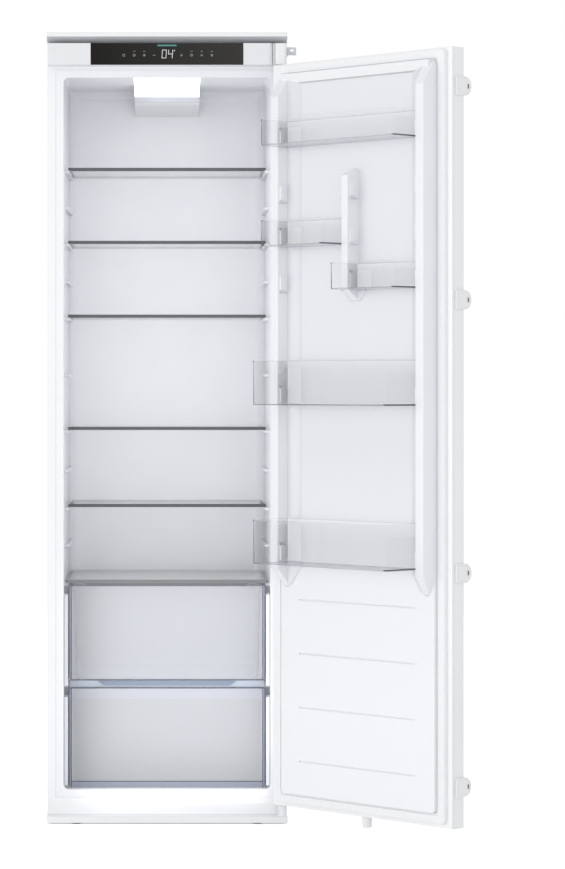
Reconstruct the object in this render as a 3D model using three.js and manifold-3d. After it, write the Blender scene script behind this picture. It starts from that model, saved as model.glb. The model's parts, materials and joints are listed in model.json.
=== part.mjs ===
// A built-in larder refrigerator for a tall kitchen niche, with its door standing open.
// Lengths are in millimetres: X runs to the right, Y into the cabinet and Z up.
// The origin is the middle of the base plate's underside, and the front faces -Y.
import * as THREE from "three";
import { mergeVertices, toCreasedNormals } from "three/addons/utils/BufferGeometryUtils.js";
import Module from "manifold-3d";

const wasm = await Module();
wasm.setup();

// Fits and cuts
const fitGap = 0.3;
const cutOverrun = 9;
const weldTolerance = 0.0001;
const arcSteps = 2;
const fineArcSteps = 3;
const roundSides = 24;

// Cabinet body
const cabinetWidth = 540;
const cabinetDepth = 495;
const cabinetHeight = 1772;
const sheetWall = 1.5;
const shellFlangeWidth = 19;
const backFoldInset = 6;
const backFoldReach = 2.2;
const rearRecess = 22.5;
const noseReach = 45;

// Cavity and inner liner
const sideWallThickness = 36.5;
const floorThickness = 55.5;
const headroom = 24.5;
const rearWall = 65;
const cavityFrontRadius = 12;
const cavityBackRadius = 28;
const ceilingRise = 11;
const linerWall = 2;
const linerFlangeThickness = 3;
const gasketFrameHeight = 17.5;
const bayDepth = 259;
const stepHeight = 219;
const stepInsulation = 38;
const stepRadius = 18;

// Base
const basePlateHeight = 13.5;
const baseSheet = 1.6;
const baseRearInset = 14;
const railHeight = 27;
const railThickness = 2.5;
const railReturn = 6;
const hingeBayWidth = 24;

// Top flange, fascia and control glass
const topFlangeHeight = 23.5;
const topFlangeThickness = 9.5;
const topFlangeDepth = 110;
const topFlangeSlope = 34;
const fasciaHeight = 49;
const fasciaReach = 41;
const fasciaWall = 2.5;
const fasciaEndRadius = 11;
const fasciaCornerRadius = 3;
const controlGlassWidth = 342;
const controlGlassThickness = 2.6;
const controlBoardThickness = 1.6;
const controlBoardInset = 22;
const controlPostRadius = 3;

// Door
const doorSideReveal = 5;
const doorThickness = 38;
const doorSheet = 1.4;
const doorBottomGap = 28.5;
const doorTopGap = 2.5;
const doorCornerRadius = 3;
const gasketGap = 10;
const pivotInset = 5;
const pivotForward = 35.6;
const doorOpenDegrees = 133.5;
const doorFlangeThickness = 2.3;
const doorFlangeInset = 1;
const doorLinerWall = 2;
const padClearance = 7;
const padHeight = 14;
const padBottomInset = 5;
const padTopInset = 4;
const padRadius = 8;
const padRailRise = 11;
const padRailFace = 11;
const padRailRun = 12;
const padRailShare = 0.4;
const gasketLipShare = 0.62;
const embossWidth = 3;
const embossDepth = 3;
const edgeGrooveDepth = 0.7;
const edgeGrooveWidth = 2;

// Door dikes and middle column
const dikeHeight = 50;
const dikeWidth = 23.5;
const dikeFoot = 40;
const dikeShoulder = 22;
const dikeLean = 3;
const dikeLedgeWidth = 4;
const dikeLedgeDrop = 0.5;
const dikeRampRun = 47;
const dikeTopRun = 50;
const dikeTopInset = 2;
const dikeTipWidth = 10;
const dikeRadius = 4;
const columnWidth = 18;
const columnRun = 27;
const columnTopRun = 16;
const columnFootRise = 6;
const columnFootWidth = 29;
const columnFootReach = 64;
const columnFootRun = 22;

// Door bins
const binWall = 2.2;
const binGapToDike = 5.5;
const shallowBinHeight = 57.5;
const deepBinHeight = 97.5;
const shallowBinReach = 117;
const deepBinReach = 142;
const binRearInset = 2.5;
const binCornerRadius = 16;
const binFrontLean = 4;
const binRimHeight = 4;
const binRimProud = 1.4;
const binEarWidth = 3;
const binEarHeight = 6;
const lugDrop = 5;
const lugHeight = 32;
const lugFront = 44;
const lugBack = 30;

// Shelves
const paneThickness = 4;
const paneGrip = 5;
const shelfFrameHeight = 7;
const shelfSideRail = 7;
const shelfFrontRail = 11;
const shelfRearRail = 10;
const shelfSideGap = 6;
const shelfFront = 137.5;
const shelfRearGap = 6;
const shelfRearRadius = 24;
const ribHeight = 7;
const ribOverlap = 3;
const ribLead = 26;
const ribDraft = 2;

// Crisper cover and drawers
const coverFront = 30;
const coverSideGap = 4;
const coverLipWidth = 364;
const coverLipHeight = 4;
const coverLipThickness = 3;
const drawerFront = 30;
const drawerSideGap = 9.5;
const drawerWall = 2.4;
const drawerFrontWall = 3;
const drawerTopGap = 0.6;
const drawerSpacing = 17;
const drawerOverStep = 25;
const drawerCornerRadius = 13;
const drawerTopRadius = 4;
const drawerTubInset = 12;
const drawerTubTaper = 5;
const drawerRimDrop = 16;
const drawerRimThickness = 2.5;
const drawerRimLead = 12;
const drawerGripDepth = 15;
const drawerRearGap = 18.5;
const upperDrawerRearGap = 26;

// Light and fan unit
const fanUnitWidth = 150;
const fanUnitFront = 175;
const fanUnitDrop = 51;
const fanUnitSlope = 8.4;
const fanUnitWall = 2.4;
const fanUnitRadius = 5;
const louvreSlots = 5;
const louvreSlotWidth = 4;
const louvreSlotPitch = 9;
const louvreMargin = 8;
const outletStart = 12;
const intakeStart = 100;
const lensFront = 18;
const lensThickness = 2.8;
const lensDrop = 27;
const rotorRadius = 19;
const rotorLength = 13;
const rotorHubRadius = 8;
const rotorBladeCount = 7;
const rotorBladeChord = 13;
const rotorBladeThickness = 1.4;
const rotorBladePitch = 0.62;
const rotorBladeTwist = 0.3;
const rotorBladeSteps = 3;
const fanShaftRadius = 2;
const fanShaftLength = 19;
const shaftPlay = 0.15;
const fanMotorRadius = 14;
const fanMotorLength = 22;
const fanMotorPlace = 64;
const fanPostWidth = 20;
const fanPostThickness = 4;
const fanAxisDrop = 20;
const lightBoardThickness = 1.6;

// Machine compartment
const compressorPlace = -70;
const compressorRadius = 72;
const compressorHeight = 152;
const compressorSeam = 4;
const compressorPlateThickness = 4;
const compressorPlateWidth = 178;
const compressorPlateDepth = 112;
const compressorPlateRadius = 14;
const grommetRadius = 9;
const grommetHeight = 11;
const grommetInset = 15;
const studRadius = 3;
const studPlay = 1.5;
const carrierInset = 4;
const carrierSheet = 2;
const carrierHeight = 14;
const carrierMargin = 16;
const pipeRadius = 4;
const pipeSides = 8;
const pipeBendRadius = 12;
const trayWidth = 148;
const trayDepth = 104;
const trayHeight = 24;
const trayWall = 2;
const trayCornerRadius = 10;
const terminalBoxWidth = 44;
const terminalBoxDepth = 40;
const terminalBoxHeight = 50;
const terminalBoxRadius = 5;
const glandRadius = 6;
const glandBore = 3.6;
const glandLength = 9;
const drainPlace = -28;
const drainSetback = 32;
const drainRadius = 7;
const drainBore = 5;
const drainFunnelRadius = 14;
const drainFunnelHeight = 3;
const drainReach = 12;

// Evaporator and condenser
const evaporatorWidth = 380;
const evaporatorThickness = 1.4;
const evaporatorChannel = 3;
const evaporatorChannelWidth = 9;
const evaporatorChannels = 7;
const condenserWidth = 380;
const condenserTubeRadius = 2.5;
const condenserTubeSides = 6;
const condenserTurns = 9;
const condenserWires = 13;
const condenserWireWidth = 1.8;
const condenserStrapHeight = 20;
const condenserStrapThickness = 1.6;
const condenserSpacerWidth = 12;
const dryerRadius = 8;
const dryerLength = 70;

// Hinges and fixings
const hingePinRadius = 3;
const hingePinLength = 20;
const pinPlay = 0.3;
const hingeBossRadius = 8;
const hingeSheet = 3;
const bushWidth = 14;
const bushDepth = 21;
const bushHeight = 24;
const bushLip = 1.8;
const bushShare = 0.5;
const hingeCoverReveal = 1.5;
const hingeCoverGap = 3.5;
const hingeCoverWidth = 27;
const hingeCoverReach = 41;
const hingeCoverWall = 2;
const hingeCoverRadius = 7;
const tabReach = 21;
const tabHeight = 18;
const tabDrop = 29;
const tabThickness = 2;
const tabLeg = 34;
const tabSlotWidth = 5;
const tabSlotLength = 9;
const footRadius = 15;
const footDrop = 3;
const footStemRadius = 5;
const footStemPlay = 0.6;
const footInset = 67;
const footSetback = 22;
const footSlots = 3;
const footSlotWidth = 3;
const runnerInset = 40;
const runnerDepth = 30;
const slideBracketHeight = 41;
const slideBracketStart = 8;
const slideBracketReach = 56;
const slideBracketThickness = 2.8;
const slideBracketRim = 1.6;
const slideBracketSlotWidth = 3;
const slideBracketSlotHeight = 11;
const slideScrewRadius = 3;
const slideScrewHead = 1.2;
const pegRadius = 11;
const pegLength = 25;
const pegTaper = 1;
const pegSetback = 22;

// Shares, chosen by hand, of the height that each row follows
const shelfHeightShares = [0.8773, 0.7727, 0.6669, 0.5059, 0.3954];
const spareRibShares = [0.825, 0.7198, 0.5865, 0.4506, 0.343];
const coverHeightShare = 0.2908;
const binHeightShares = [0.8855, 0.7517, 0.6917, 0.5409, 0.3307];
const spareLugShares = [
  [1, 0.8118],
  [1, 0.6917],
  [-1, 0.8118],
  [-1, 0.7517],
];
const dikeBottomShare = 0.2961;
const columnBottomShare = 0.6773;
const columnTopShare = 0.852;
const embossShares = [0.2804, 0.2084, 0.1363, 0.0642];
const embossWidthShare = 0.755;
const slideBracketShares = [0.9503, 0.6766, 0.3265, 0.0527];
const condenserBottomShare = 0.185;
const condenserTopShare = 0.93;
const evaporatorBottomShare = 0.34;
const evaporatorTopShare = 0.84;

// Finishes of the pieces: colour, roughness and metalness
const finishes = {
  whiteSteel: { color: 0xf4f5f6, roughness: 0.35, metalness: 0.1 },
  whitePlastic: { color: 0xeff0f1, roughness: 0.45, metalness: 0 },
  linerPlastic: { color: 0xebedf0, roughness: 0.4, metalness: 0 },
  greySteel: { color: 0xb9bbbd, roughness: 0.4, metalness: 0.7 },
  zincSteel: { color: 0xc4c6c4, roughness: 0.45, metalness: 0.8 },
  blackEnamel: { color: 0x1c1d1e, roughness: 0.5, metalness: 0.2 },
  blackGlass: { color: 0x282827, roughness: 0.08, metalness: 0 },
  clearGlass: { color: 0xdfeaea, roughness: 0.05, metalness: 0, transparent: true, opacity: 0.35 },
  clearPlastic: { color: 0xc9d2e2, roughness: 0.12, metalness: 0, transparent: true, opacity: 0.45 },
  frameGrey: { color: 0x77797d, roughness: 0.4, metalness: 0.2 },
  lensPlastic: { color: 0xffffff, roughness: 0.3, metalness: 0, emissive: 0x555555 },
  gasketGrey: { color: 0xd9dadc, roughness: 0.8, metalness: 0 },
  foam: { color: 0xe6d9a8, roughness: 0.95, metalness: 0 },
  boardGreen: { color: 0x2c6b43, roughness: 0.6, metalness: 0 },
  copper: { color: 0xb5764c, roughness: 0.35, metalness: 0.9 },
  aluminium: { color: 0xb8bcbf, roughness: 0.35, metalness: 0.9 },
  darkPlastic: { color: 0x3a3c3f, roughness: 0.6, metalness: 0 },
};

// Levels and planes that the pieces share
const halfWidth = cabinetWidth / 2;
const frontY = -cabinetDepth / 2;
const rearY = cabinetDepth / 2;
const noseY = frontY - noseReach;
const flangeBottom = cabinetHeight - topFlangeHeight;
const fasciaTop = flangeBottom - fitGap;
const fasciaBottom = flangeBottom - fasciaHeight;
const shellBottom = basePlateHeight + fitGap;
const shellTop = cabinetHeight - topFlangeThickness - fitGap;
const cavityBottom = basePlateHeight + floorThickness;
const cavityTop = fasciaBottom - headroom;
const cavityHeight = cavityTop - cavityBottom;
const cavityHalf = halfWidth - sideWallThickness;
const frameHalf = halfWidth - shellFlangeWidth;
const frameBottom = cavityBottom - gasketFrameHeight;
const frameTop = cavityTop + gasketFrameHeight;
const stepTop = cavityBottom + stepHeight;
const cavityDepth = cabinetDepth - rearWall;
const stepDepth = cabinetDepth - bayDepth;
const drainDepth = cavityDepth - drainSetback;
const stepBack = stepDepth + linerWall + stepInsulation;
const bayTop = stepTop - linerWall - stepInsulation;
const backPanelDepth = cabinetDepth - rearRecess;
const fasciaY = frontY - fasciaReach;
const fasciaRight = halfWidth - hingeCoverReveal - hingeCoverWidth - hingeCoverGap;
const hingeCoverLeft = fasciaRight + hingeCoverGap;

// Door levels, in the closed door's own frame: X as the cabinet's, Y inwards from its inner face
const doorHalf = halfWidth - doorSideReveal;
const doorBottom = basePlateHeight + doorBottomGap;
const doorTop = fasciaBottom - doorTopGap;
const doorHeight = doorTop - doorBottom;
const pivotX = doorHalf - pivotInset;
const pivotY = frontY - pivotForward;
const doorFaceY = pivotForward - gasketGap;
const padHalf = cavityHalf - padClearance;
const padBottom = cavityBottom + padBottomInset;
const padTop = cavityTop - padTopInset;
const dikeInner = padHalf - dikeWidth;
const binHalf = dikeInner - binGapToDike;
const doorLevel = (share) => doorBottom + doorHeight * share;
const cavityLevel = (share) => cavityBottom + cavityHeight * share;
const inDepth = (distance) => frontY + distance;

// Levels of the shelves, the cover and the drawers
const coverLevel = cavityLevel(coverHeightShare);
const upperDrawerTop = coverLevel - shelfFrameHeight / 2 - coverLipHeight - drawerTopGap;
const upperDrawerBottom = stepTop + drawerOverStep;
const lowerDrawerTop = upperDrawerBottom - drawerSpacing;
const lowerDrawerBottom = cavityBottom + fitGap;
const fanUnitBottom = cavityTop - fanUnitDrop;
const fanAxisLevel = cavityTop - fanAxisDrop;

// A solid for joining and cutting, from a closed three.js geometry
function solidOf(geometry) {
  geometry.deleteAttribute("normal");
  geometry.deleteAttribute("uv");
  const merged = mergeVertices(geometry, weldTolerance);
  const corners = merged.index.array;
  const kept = [];
  for (let i = 0; i < corners.length; i += 3) {
    const [a, b, c] = [corners[i], corners[i + 1], corners[i + 2]];
    if (a !== b && b !== c && c !== a) kept.push(a, b, c);
  }
  return new wasm.Manifold(
    new wasm.Mesh({
      numProp: 3,
      vertProperties: merged.attributes.position.array,
      triVerts: new Uint32Array(kept),
    }),
  );
}

// The geometry of a finished solid, with soft shading on its round stretches
function geometryOf(solid) {
  const mesh = solid.getMesh();
  const geometry = new THREE.BufferGeometry();
  const places = new Float32Array(mesh.numVert * 3);
  for (let i = 0; i < mesh.numVert; i++) {
    places.set(mesh.vertProperties.subarray(i * mesh.numProp, i * mesh.numProp + 3), i * 3);
  }
  geometry.setAttribute("position", new THREE.BufferAttribute(places, 3));
  geometry.setIndex(new THREE.BufferAttribute(mesh.triVerts, 1));
  return toCreasedNormals(geometry, Math.PI / 5);
}

// A named mesh with a material of its own, added to its group
function place(group, name, solid, finish) {
  const material = new THREE.MeshStandardMaterial(finishes[finish]);
  const mesh = new THREE.Mesh(geometryOf(solid), material);
  mesh.name = name;
  group.add(mesh);
  return mesh;
}

const joined = (solids) => solids.reduce((whole, solid) => whole.add(solid));
const without = (solid, cuts) => cuts.reduce((whole, cut) => whole.subtract(cut), solid);

// An upright box from its low and high sides
function block(left, right, front, back, low, high) {
  const geometry = new THREE.BoxGeometry(right - left, back - front, high - low);
  geometry.translate((left + right) / 2, (front + back) / 2, (low + high) / 2);
  return solidOf(geometry);
}

// A closed outline from corners [across, up, radius], run anticlockwise
function outline(corners) {
  const shape = new THREE.Shape();
  const count = corners.length;
  const point = (i) => new THREE.Vector2(corners[i % count][0], corners[i % count][1]);
  corners.forEach(([, , radius = 0], i) => {
    const here = point(i);
    const into = here.clone().sub(point(i + count - 1)).normalize();
    const out = point(i + 1).sub(here).normalize();
    if (!radius) {
      if (i === 0) shape.moveTo(here.x, here.y);
      else shape.lineTo(here.x, here.y);
      return;
    }
    const turn = Math.atan2(into.cross(out), into.dot(out));
    const side = Math.sign(turn);
    const setback = radius * Math.tan(Math.abs(turn) / 2);
    const start = here.clone().addScaledVector(into, -setback);
    const heading = Math.atan2(into.y, into.x) - (side * Math.PI) / 2;
    const centreX = start.x - Math.cos(heading) * radius;
    const centreY = start.y - Math.sin(heading) * radius;
    if (i === 0) shape.moveTo(start.x, start.y);
    else shape.lineTo(start.x, start.y);
    shape.absarc(centreX, centreY, radius, heading, heading + turn, side < 0);
  });
  return shape;
}

// The outline of a rectangle whose four corners share a radius
function roundedRectangle(left, right, low, high, radius) {
  return outline([
    [left, low, radius],
    [right, low, radius],
    [right, high, radius],
    [left, high, radius],
  ]);
}

// An outline pulled along an axis: drawn in (Y, Z) for "x", (X, Z) for "y" and (X, Y) for "z"
function prism(axis, shape, from, to, steps = arcSteps) {
  const geometry = new THREE.ExtrudeGeometry(shape, {
    depth: to - from,
    curveSegments: steps,
    bevelEnabled: false,
  });
  const turned = new THREE.Matrix4();
  if (axis === "x") {
    turned.makeBasis(
      new THREE.Vector3(0, 1, 0),
      new THREE.Vector3(0, 0, 1),
      new THREE.Vector3(1, 0, 0),
    );
    geometry.applyMatrix4(turned);
    geometry.translate(from, 0, 0);
  } else if (axis === "y") {
    geometry.rotateX(Math.PI / 2);
    geometry.translate(0, to, 0);
  } else {
    geometry.translate(0, 0, from);
  }
  return solidOf(geometry);
}

// A round piece turned about an upright axis, from a profile of [radius, height] points
function turnedSolid(profile, sides = roundSides) {
  const points = profile.map(([radius, height]) => new THREE.Vector2(radius, height));
  return solidOf(new THREE.LatheGeometry(points, sides).rotateX(Math.PI / 2));
}

// An upright round bar between two levels
function post(x, y, radius, low, high, sides = roundSides) {
  return turnedSolid([[0, low], [radius, low], [radius, high], [0, high]], sides).translate(x, y, 0);
}

// A round bar along Y between two places
function barAlongY(x, z, radius, from, to, sides = roundSides) {
  const bar = turnedSolid([[0, from], [radius, from], [radius, to], [0, to]], sides);
  return bar.rotate(-90, 0, 0).translate(x, 0, z);
}

// A round bar along X between two places
function barAlongX(y, z, radius, from, to, sides = roundSides) {
  const bar = turnedSolid([[0, from], [radius, from], [radius, to], [0, to]], sides);
  return bar.rotate(0, 90, 0).translate(0, y, z);
}

// A route through given points, with one ring of a tube at each of them
class Route extends THREE.Curve {
  constructor(points) {
    super();
    this.points = points;
  }

  getUtoTmapping(share) {
    return share;
  }

  getPoint(share, target = new THREE.Vector3()) {
    const place = share * (this.points.length - 1);
    const index = Math.min(Math.floor(place), this.points.length - 2);
    return target.lerpVectors(this.points[index], this.points[index + 1], place - index);
  }

  getTangent(share, target = new THREE.Vector3()) {
    const last = this.points.length - 1;
    const index = Math.round(share * last);
    const here = this.points[index];
    const before = this.points[Math.max(index - 1, 0)];
    const after = this.points[Math.min(index + 1, last)];
    target.subVectors(here, before).normalize();
    return target.add(after.clone().sub(here).normalize()).normalize();
  }
}

// A pipe through corner points, with each inner corner bent at one radius
function pipe(corners, radius, sides, bendRadius, bendSteps = 3) {
  const points = [corners[0]];
  corners.slice(1, -1).forEach((corner, i) => {
    const into = corner.clone().sub(corners[i]).normalize();
    const out = corners[i + 2].clone().sub(corner).normalize();
    const turn = into.angleTo(out);
    const setback = bendRadius * Math.tan(turn / 2);
    const start = corner.clone().addScaledVector(into, -setback);
    const end = corner.clone().addScaledVector(out, setback);
    const toCentre = out.clone().sub(into).normalize();
    const centre = corner.clone().addScaledVector(toCentre, bendRadius / Math.cos(turn / 2));
    for (let step = 0; step <= bendSteps; step++) {
      const arm = start.clone().sub(centre);
      const axis = new THREE.Vector3().crossVectors(into, out).normalize();
      arm.applyAxisAngle(axis, (turn * step) / bendSteps);
      points.push(step === bendSteps ? end : centre.clone().add(arm));
    }
  });
  points.push(corners[corners.length - 1]);
  const section = new THREE.Shape();
  for (let side = 0; side < sides; side++) {
    const angle = (side / sides) * Math.PI * 2;
    if (side === 0) section.moveTo(radius * Math.cos(angle), radius * Math.sin(angle));
    else section.lineTo(radius * Math.cos(angle), radius * Math.sin(angle));
  }
  const route = new Route(points);
  const steps = points.length - 1;
  return solidOf(new THREE.ExtrudeGeometry(section, { steps, extrudePath: route, bevelEnabled: false }));
}

// The cavity as a solid, grown outwards by a wall: a front view, a side view and a plan, crossed
function cavityForm(grow) {
  const frontStart = inDepth(-cutOverrun);
  const half = cavityHalf + grow;
  const low = cavityBottom - grow;
  const high = cavityTop + grow;
  const back = inDepth(cavityDepth) + grow;
  const frontView = prism(
    "y",
    roundedRectangle(-half, half, low, high, cavityFrontRadius + grow),
    frontStart,
    back + cutOverrun,
  );
  const rearView = prism(
    "y",
    roundedRectangle(-half, half, low, high + ceilingRise, cavityFrontRadius + grow),
    inDepth(fanUnitFront),
    back + cutOverrun,
  );
  const sideView = prism(
    "x",
    outline([
      [frontStart, low],
      [inDepth(stepDepth) + grow, low, stepRadius + grow],
      [inDepth(stepDepth) + grow, stepTop - grow, stepRadius - grow],
      [back, stepTop - grow, stepRadius + grow],
      [back, high + ceilingRise, cavityBackRadius + grow],
      [inDepth(fanUnitFront), high],
      [frontStart, high],
    ]),
    -half - cutOverrun,
    half + cutOverrun,
  );
  const plan = prism(
    "z",
    outline([
      [-half, frontStart],
      [half, frontStart],
      [half, back, cavityBackRadius + grow],
      [-half, back, cavityBackRadius + grow],
    ]),
    low - cutOverrun,
    high + ceilingRise + cutOverrun * 2,
  );
  return frontView.add(rearView).intersect(sideView).intersect(plan);
}

// Cabinet pieces

function outerShell() {
  const body = block(-halfWidth, halfWidth, frontY, rearY, shellBottom, shellTop);
  const inner = halfWidth - sheetWall;
  const hollow = block(
    -inner,
    inner,
    frontY + sheetWall,
    rearY + cutOverrun,
    shellBottom + sheetWall,
    shellTop - sheetWall,
  );
  const opening = block(
    -frameHalf,
    frameHalf,
    frontY - cutOverrun,
    frontY + sheetWall + cutOverrun,
    frameBottom,
    frameTop,
  );
  const bayFloor = block(
    -inner,
    inner,
    inDepth(stepBack),
    rearY + cutOverrun,
    shellBottom - cutOverrun,
    shellBottom + sheetWall + cutOverrun,
  );
  const bulkhead = prism(
    "x",
    outline([
      [inDepth(stepBack) - sheetWall, shellBottom],
      [inDepth(stepBack), shellBottom],
      [inDepth(stepBack), bayTop - sheetWall],
      [inDepth(backPanelDepth), bayTop - sheetWall],
      [inDepth(backPanelDepth), bayTop],
      [inDepth(stepBack) - sheetWall, bayTop],
    ]),
    -inner - sheetWall / 2,
    inner + sheetWall / 2,
  );
  const drainHole = drainHoleThrough(fitGap);
  return without(joined([without(body, [hollow, opening, bayFloor]), bulkhead]), [drainHole]);
}

function backPanel() {
  const half = halfWidth - sheetWall - fitGap;
  const face = inDepth(backPanelDepth);
  const sheet = block(-half, half, face - sheetWall, face, bayTop + fitGap, shellTop - sheetWall - fitGap);
  const foldWidth = half - backFoldInset;
  const fold = block(
    -foldWidth,
    foldWidth,
    face - sheetWall / 2,
    face + backFoldReach,
    bayTop + fitGap,
    bayTop + fitGap + sheetWall,
  );
  return joined([sheet, fold]);
}

function drainHoleThrough(clearance) {
  return post(
    drainPlace,
    inDepth(drainDepth),
    drainRadius + clearance,
    bayTop - drainReach - cutOverrun,
    stepTop + cutOverrun,
  );
}

function insulation() {
  const half = halfWidth - sheetWall - fitGap;
  const body = block(
    -half,
    half,
    frontY + sheetWall + fitGap,
    inDepth(backPanelDepth) - sheetWall - fitGap,
    shellBottom + sheetWall + fitGap,
    shellTop - sheetWall - fitGap,
  );
  const flangePocket = block(
    -frameHalf,
    frameHalf,
    frontY - cutOverrun,
    frontY + linerFlangeThickness + fitGap,
    frameBottom,
    frameTop,
  );
  const bay = block(
    -halfWidth,
    halfWidth,
    inDepth(stepBack) - sheetWall - fitGap,
    rearY + cutOverrun,
    shellBottom - cutOverrun,
    bayTop + fitGap,
  );
  const plateHalf = evaporatorWidth / 2 + fitGap;
  const evaporatorPocket = block(
    -plateHalf,
    plateHalf,
    inDepth(cavityDepth),
    inDepth(cavityDepth) + linerWall + evaporatorThickness + evaporatorChannel + fitGap * 2,
    cavityLevel(evaporatorBottomShare) - fitGap,
    cavityLevel(evaporatorTopShare) + fitGap,
  );
  return without(body, [
    cavityForm(linerWall + fitGap),
    flangePocket,
    bay,
    evaporatorPocket,
    drainHoleThrough(fitGap),
  ]);
}

// A moulded rib on one side wall, with a round nose, that carries the edge of a shelf or drawer
function supportRib(side, top, from, to, reach) {
  const noseRadius = ribHeight * 0.48;
  const shape = outline([
    [inDepth(from), top - ribHeight, noseRadius],
    [inDepth(to), top - ribHeight + ribDraft],
    [inDepth(to), top],
    [inDepth(from), top, noseRadius],
  ]);
  const wall = cavityHalf + linerWall / 2;
  if (side > 0) return prism("x", shape, reach, wall);
  return prism("x", shape, -wall, -reach);
}

function innerLiner() {
  const flangeOut = frameHalf - fitGap;
  const flange = block(
    -flangeOut,
    flangeOut,
    frontY,
    frontY + linerFlangeThickness,
    frameBottom + fitGap,
    frameTop - fitGap,
  );
  const outside = block(-halfWidth, halfWidth, frontY - cutOverrun * 2, frontY, shellBottom, shellTop);
  const shell = without(joined([cavityForm(linerWall).subtract(outside), flange]), [
    cavityForm(0),
    post(drainPlace, inDepth(drainDepth), drainRadius + fitGap, stepTop - cutOverrun, stepTop + cutOverrun),
  ]);
  const ribEnd = cavityDepth - cavityBackRadius - linerWall;
  const shelfRibReach = cavityHalf - shelfSideGap - ribOverlap;
  const underShelf = (level) => level - shelfFrameHeight / 2 - fitGap;
  const ribs = [];
  for (const side of [-1, 1]) {
    for (const share of [...shelfHeightShares, ...spareRibShares]) {
      const top = underShelf(cavityLevel(share));
      ribs.push(supportRib(side, top, shelfFront - ribLead, ribEnd, shelfRibReach));
    }
    const coverRibTop = underShelf(coverLevel);
    ribs.push(supportRib(side, coverRibTop, coverFront + drawerRimLead, ribEnd, shelfRibReach));
    const rimFront = drawerFront + drawerFrontWall + drawerRimLead;
    const upperRimLevel = upperDrawerTop - drawerRimDrop - drawerRimThickness - fitGap;
    const lowerRimLevel = lowerDrawerTop - drawerRimDrop - drawerRimThickness - fitGap;
    ribs.push(supportRib(side, upperRimLevel, rimFront, ribEnd, shelfRibReach));
    ribs.push(supportRib(side, lowerRimLevel, rimFront, stepDepth - stepRadius, shelfRibReach));
  }
  return joined([shell, ...ribs]);
}

function evaporator() {
  const half = evaporatorWidth / 2;
  const low = cavityLevel(evaporatorBottomShare);
  const high = cavityLevel(evaporatorTopShare);
  const face = inDepth(cavityDepth) + linerWall + fitGap;
  const plate = block(-half, half, face, face + evaporatorThickness, low, high);
  const pitch = (high - low) / (evaporatorChannels + 1);
  const channels = [];
  for (let i = 1; i <= evaporatorChannels; i++) {
    const level = low + pitch * i;
    const shape = outline([
      [face + evaporatorThickness / 2, level - evaporatorChannelWidth / 2],
      [face + evaporatorThickness + evaporatorChannel, level - evaporatorChannelWidth / 4],
      [face + evaporatorThickness + evaporatorChannel, level + evaporatorChannelWidth / 4],
      [face + evaporatorThickness / 2, level + evaporatorChannelWidth / 2],
    ]);
    channels.push(prism("x", shape, -half + evaporatorChannelWidth, half - evaporatorChannelWidth));
  }
  return joined([plate, ...channels]);
}

function drainTube() {
  const low = bayTop - drainReach;
  const top = stepTop + fitGap + drainFunnelHeight;
  const tube = turnedSolid([
    [drainBore, low],
    [drainRadius, low],
    [drainRadius, stepTop + fitGap],
    [drainFunnelRadius, stepTop + fitGap],
    [drainFunnelRadius, top],
    [drainBore, stepTop + fitGap],
    [drainBore, low],
  ]);
  return tube.translate(drainPlace, inDepth(drainDepth), 0);
}

// Base pieces

function basePlate() {
  const back = rearY - baseRearInset;
  const body = prism(
    "z",
    outline([
      [-halfWidth, noseY, doorCornerRadius],
      [halfWidth, noseY, doorCornerRadius],
      [halfWidth, back],
      [-halfWidth, back],
    ]),
    0,
    basePlateHeight,
  );
  const inner = halfWidth - baseSheet;
  const underTop = basePlateHeight - baseSheet;
  const hollow = block(-inner, inner, noseY + baseSheet, back - baseSheet, baseSheet, underTop);
  const topOpening = block(
    -inner,
    inner,
    frontY + railThickness,
    back - baseSheet,
    baseSheet,
    basePlateHeight + cutOverrun,
  );
  const footHoles = [-1, 1].map((side) =>
    post(
      side * (halfWidth - footInset),
      noseY + footSetback,
      footStemRadius + footStemPlay,
      -cutOverrun,
      basePlateHeight / 2,
      roundSides / 2,
    ),
  );
  return without(body, [hollow, topOpening, ...footHoles]);
}

// The white rail across the cabinet's front under the gasket frame
function frontRail() {
  const back = frontY - fitGap;
  const front = back - railThickness;
  const high = basePlateHeight + railHeight;
  const right = halfWidth - hingeBayWidth;
  const left = -halfWidth + hingeCoverReveal;
  const face = prism(
    "x",
    outline([
      [front, shellBottom],
      [back, shellBottom],
      [back, high],
      [front, high, railThickness * 0.9],
    ]),
    left,
    right,
  );
  const foot = block(left, right, back - railReturn, back, shellBottom, shellBottom + railThickness);
  return joined([face, foot]);
}

function frontFoot(side) {
  const disc = turnedSolid([
    [0, -footDrop],
    [footRadius - footDrop / 2, -footDrop],
    [footRadius, -footDrop / 2],
    [footRadius, -fitGap],
    [footStemRadius, -fitGap],
    [footStemRadius, basePlateHeight - baseSheet * 2],
    [0, basePlateHeight - baseSheet * 2],
  ]);
  const slots = [];
  for (let i = 0; i < footSlots; i++) {
    const slot = block(
      -footSlotWidth / 2,
      footSlotWidth / 2,
      footRadius - footDrop,
      footRadius + cutOverrun,
      -footDrop - cutOverrun,
      0,
    );
    slots.push(slot.rotate(0, 0, (360 / footSlots) * i));
  }
  return without(disc, slots).translate(side * (halfWidth - footInset), noseY + footSetback, 0);
}

function rearRunner() {
  const half = halfWidth - runnerInset;
  const back = rearY - baseRearInset - fitGap;
  const shape = roundedRectangle(-half, half, back - runnerDepth, back, doorCornerRadius);
  return prism("z", shape, -footDrop, -fitGap);
}

// Top pieces

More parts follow.
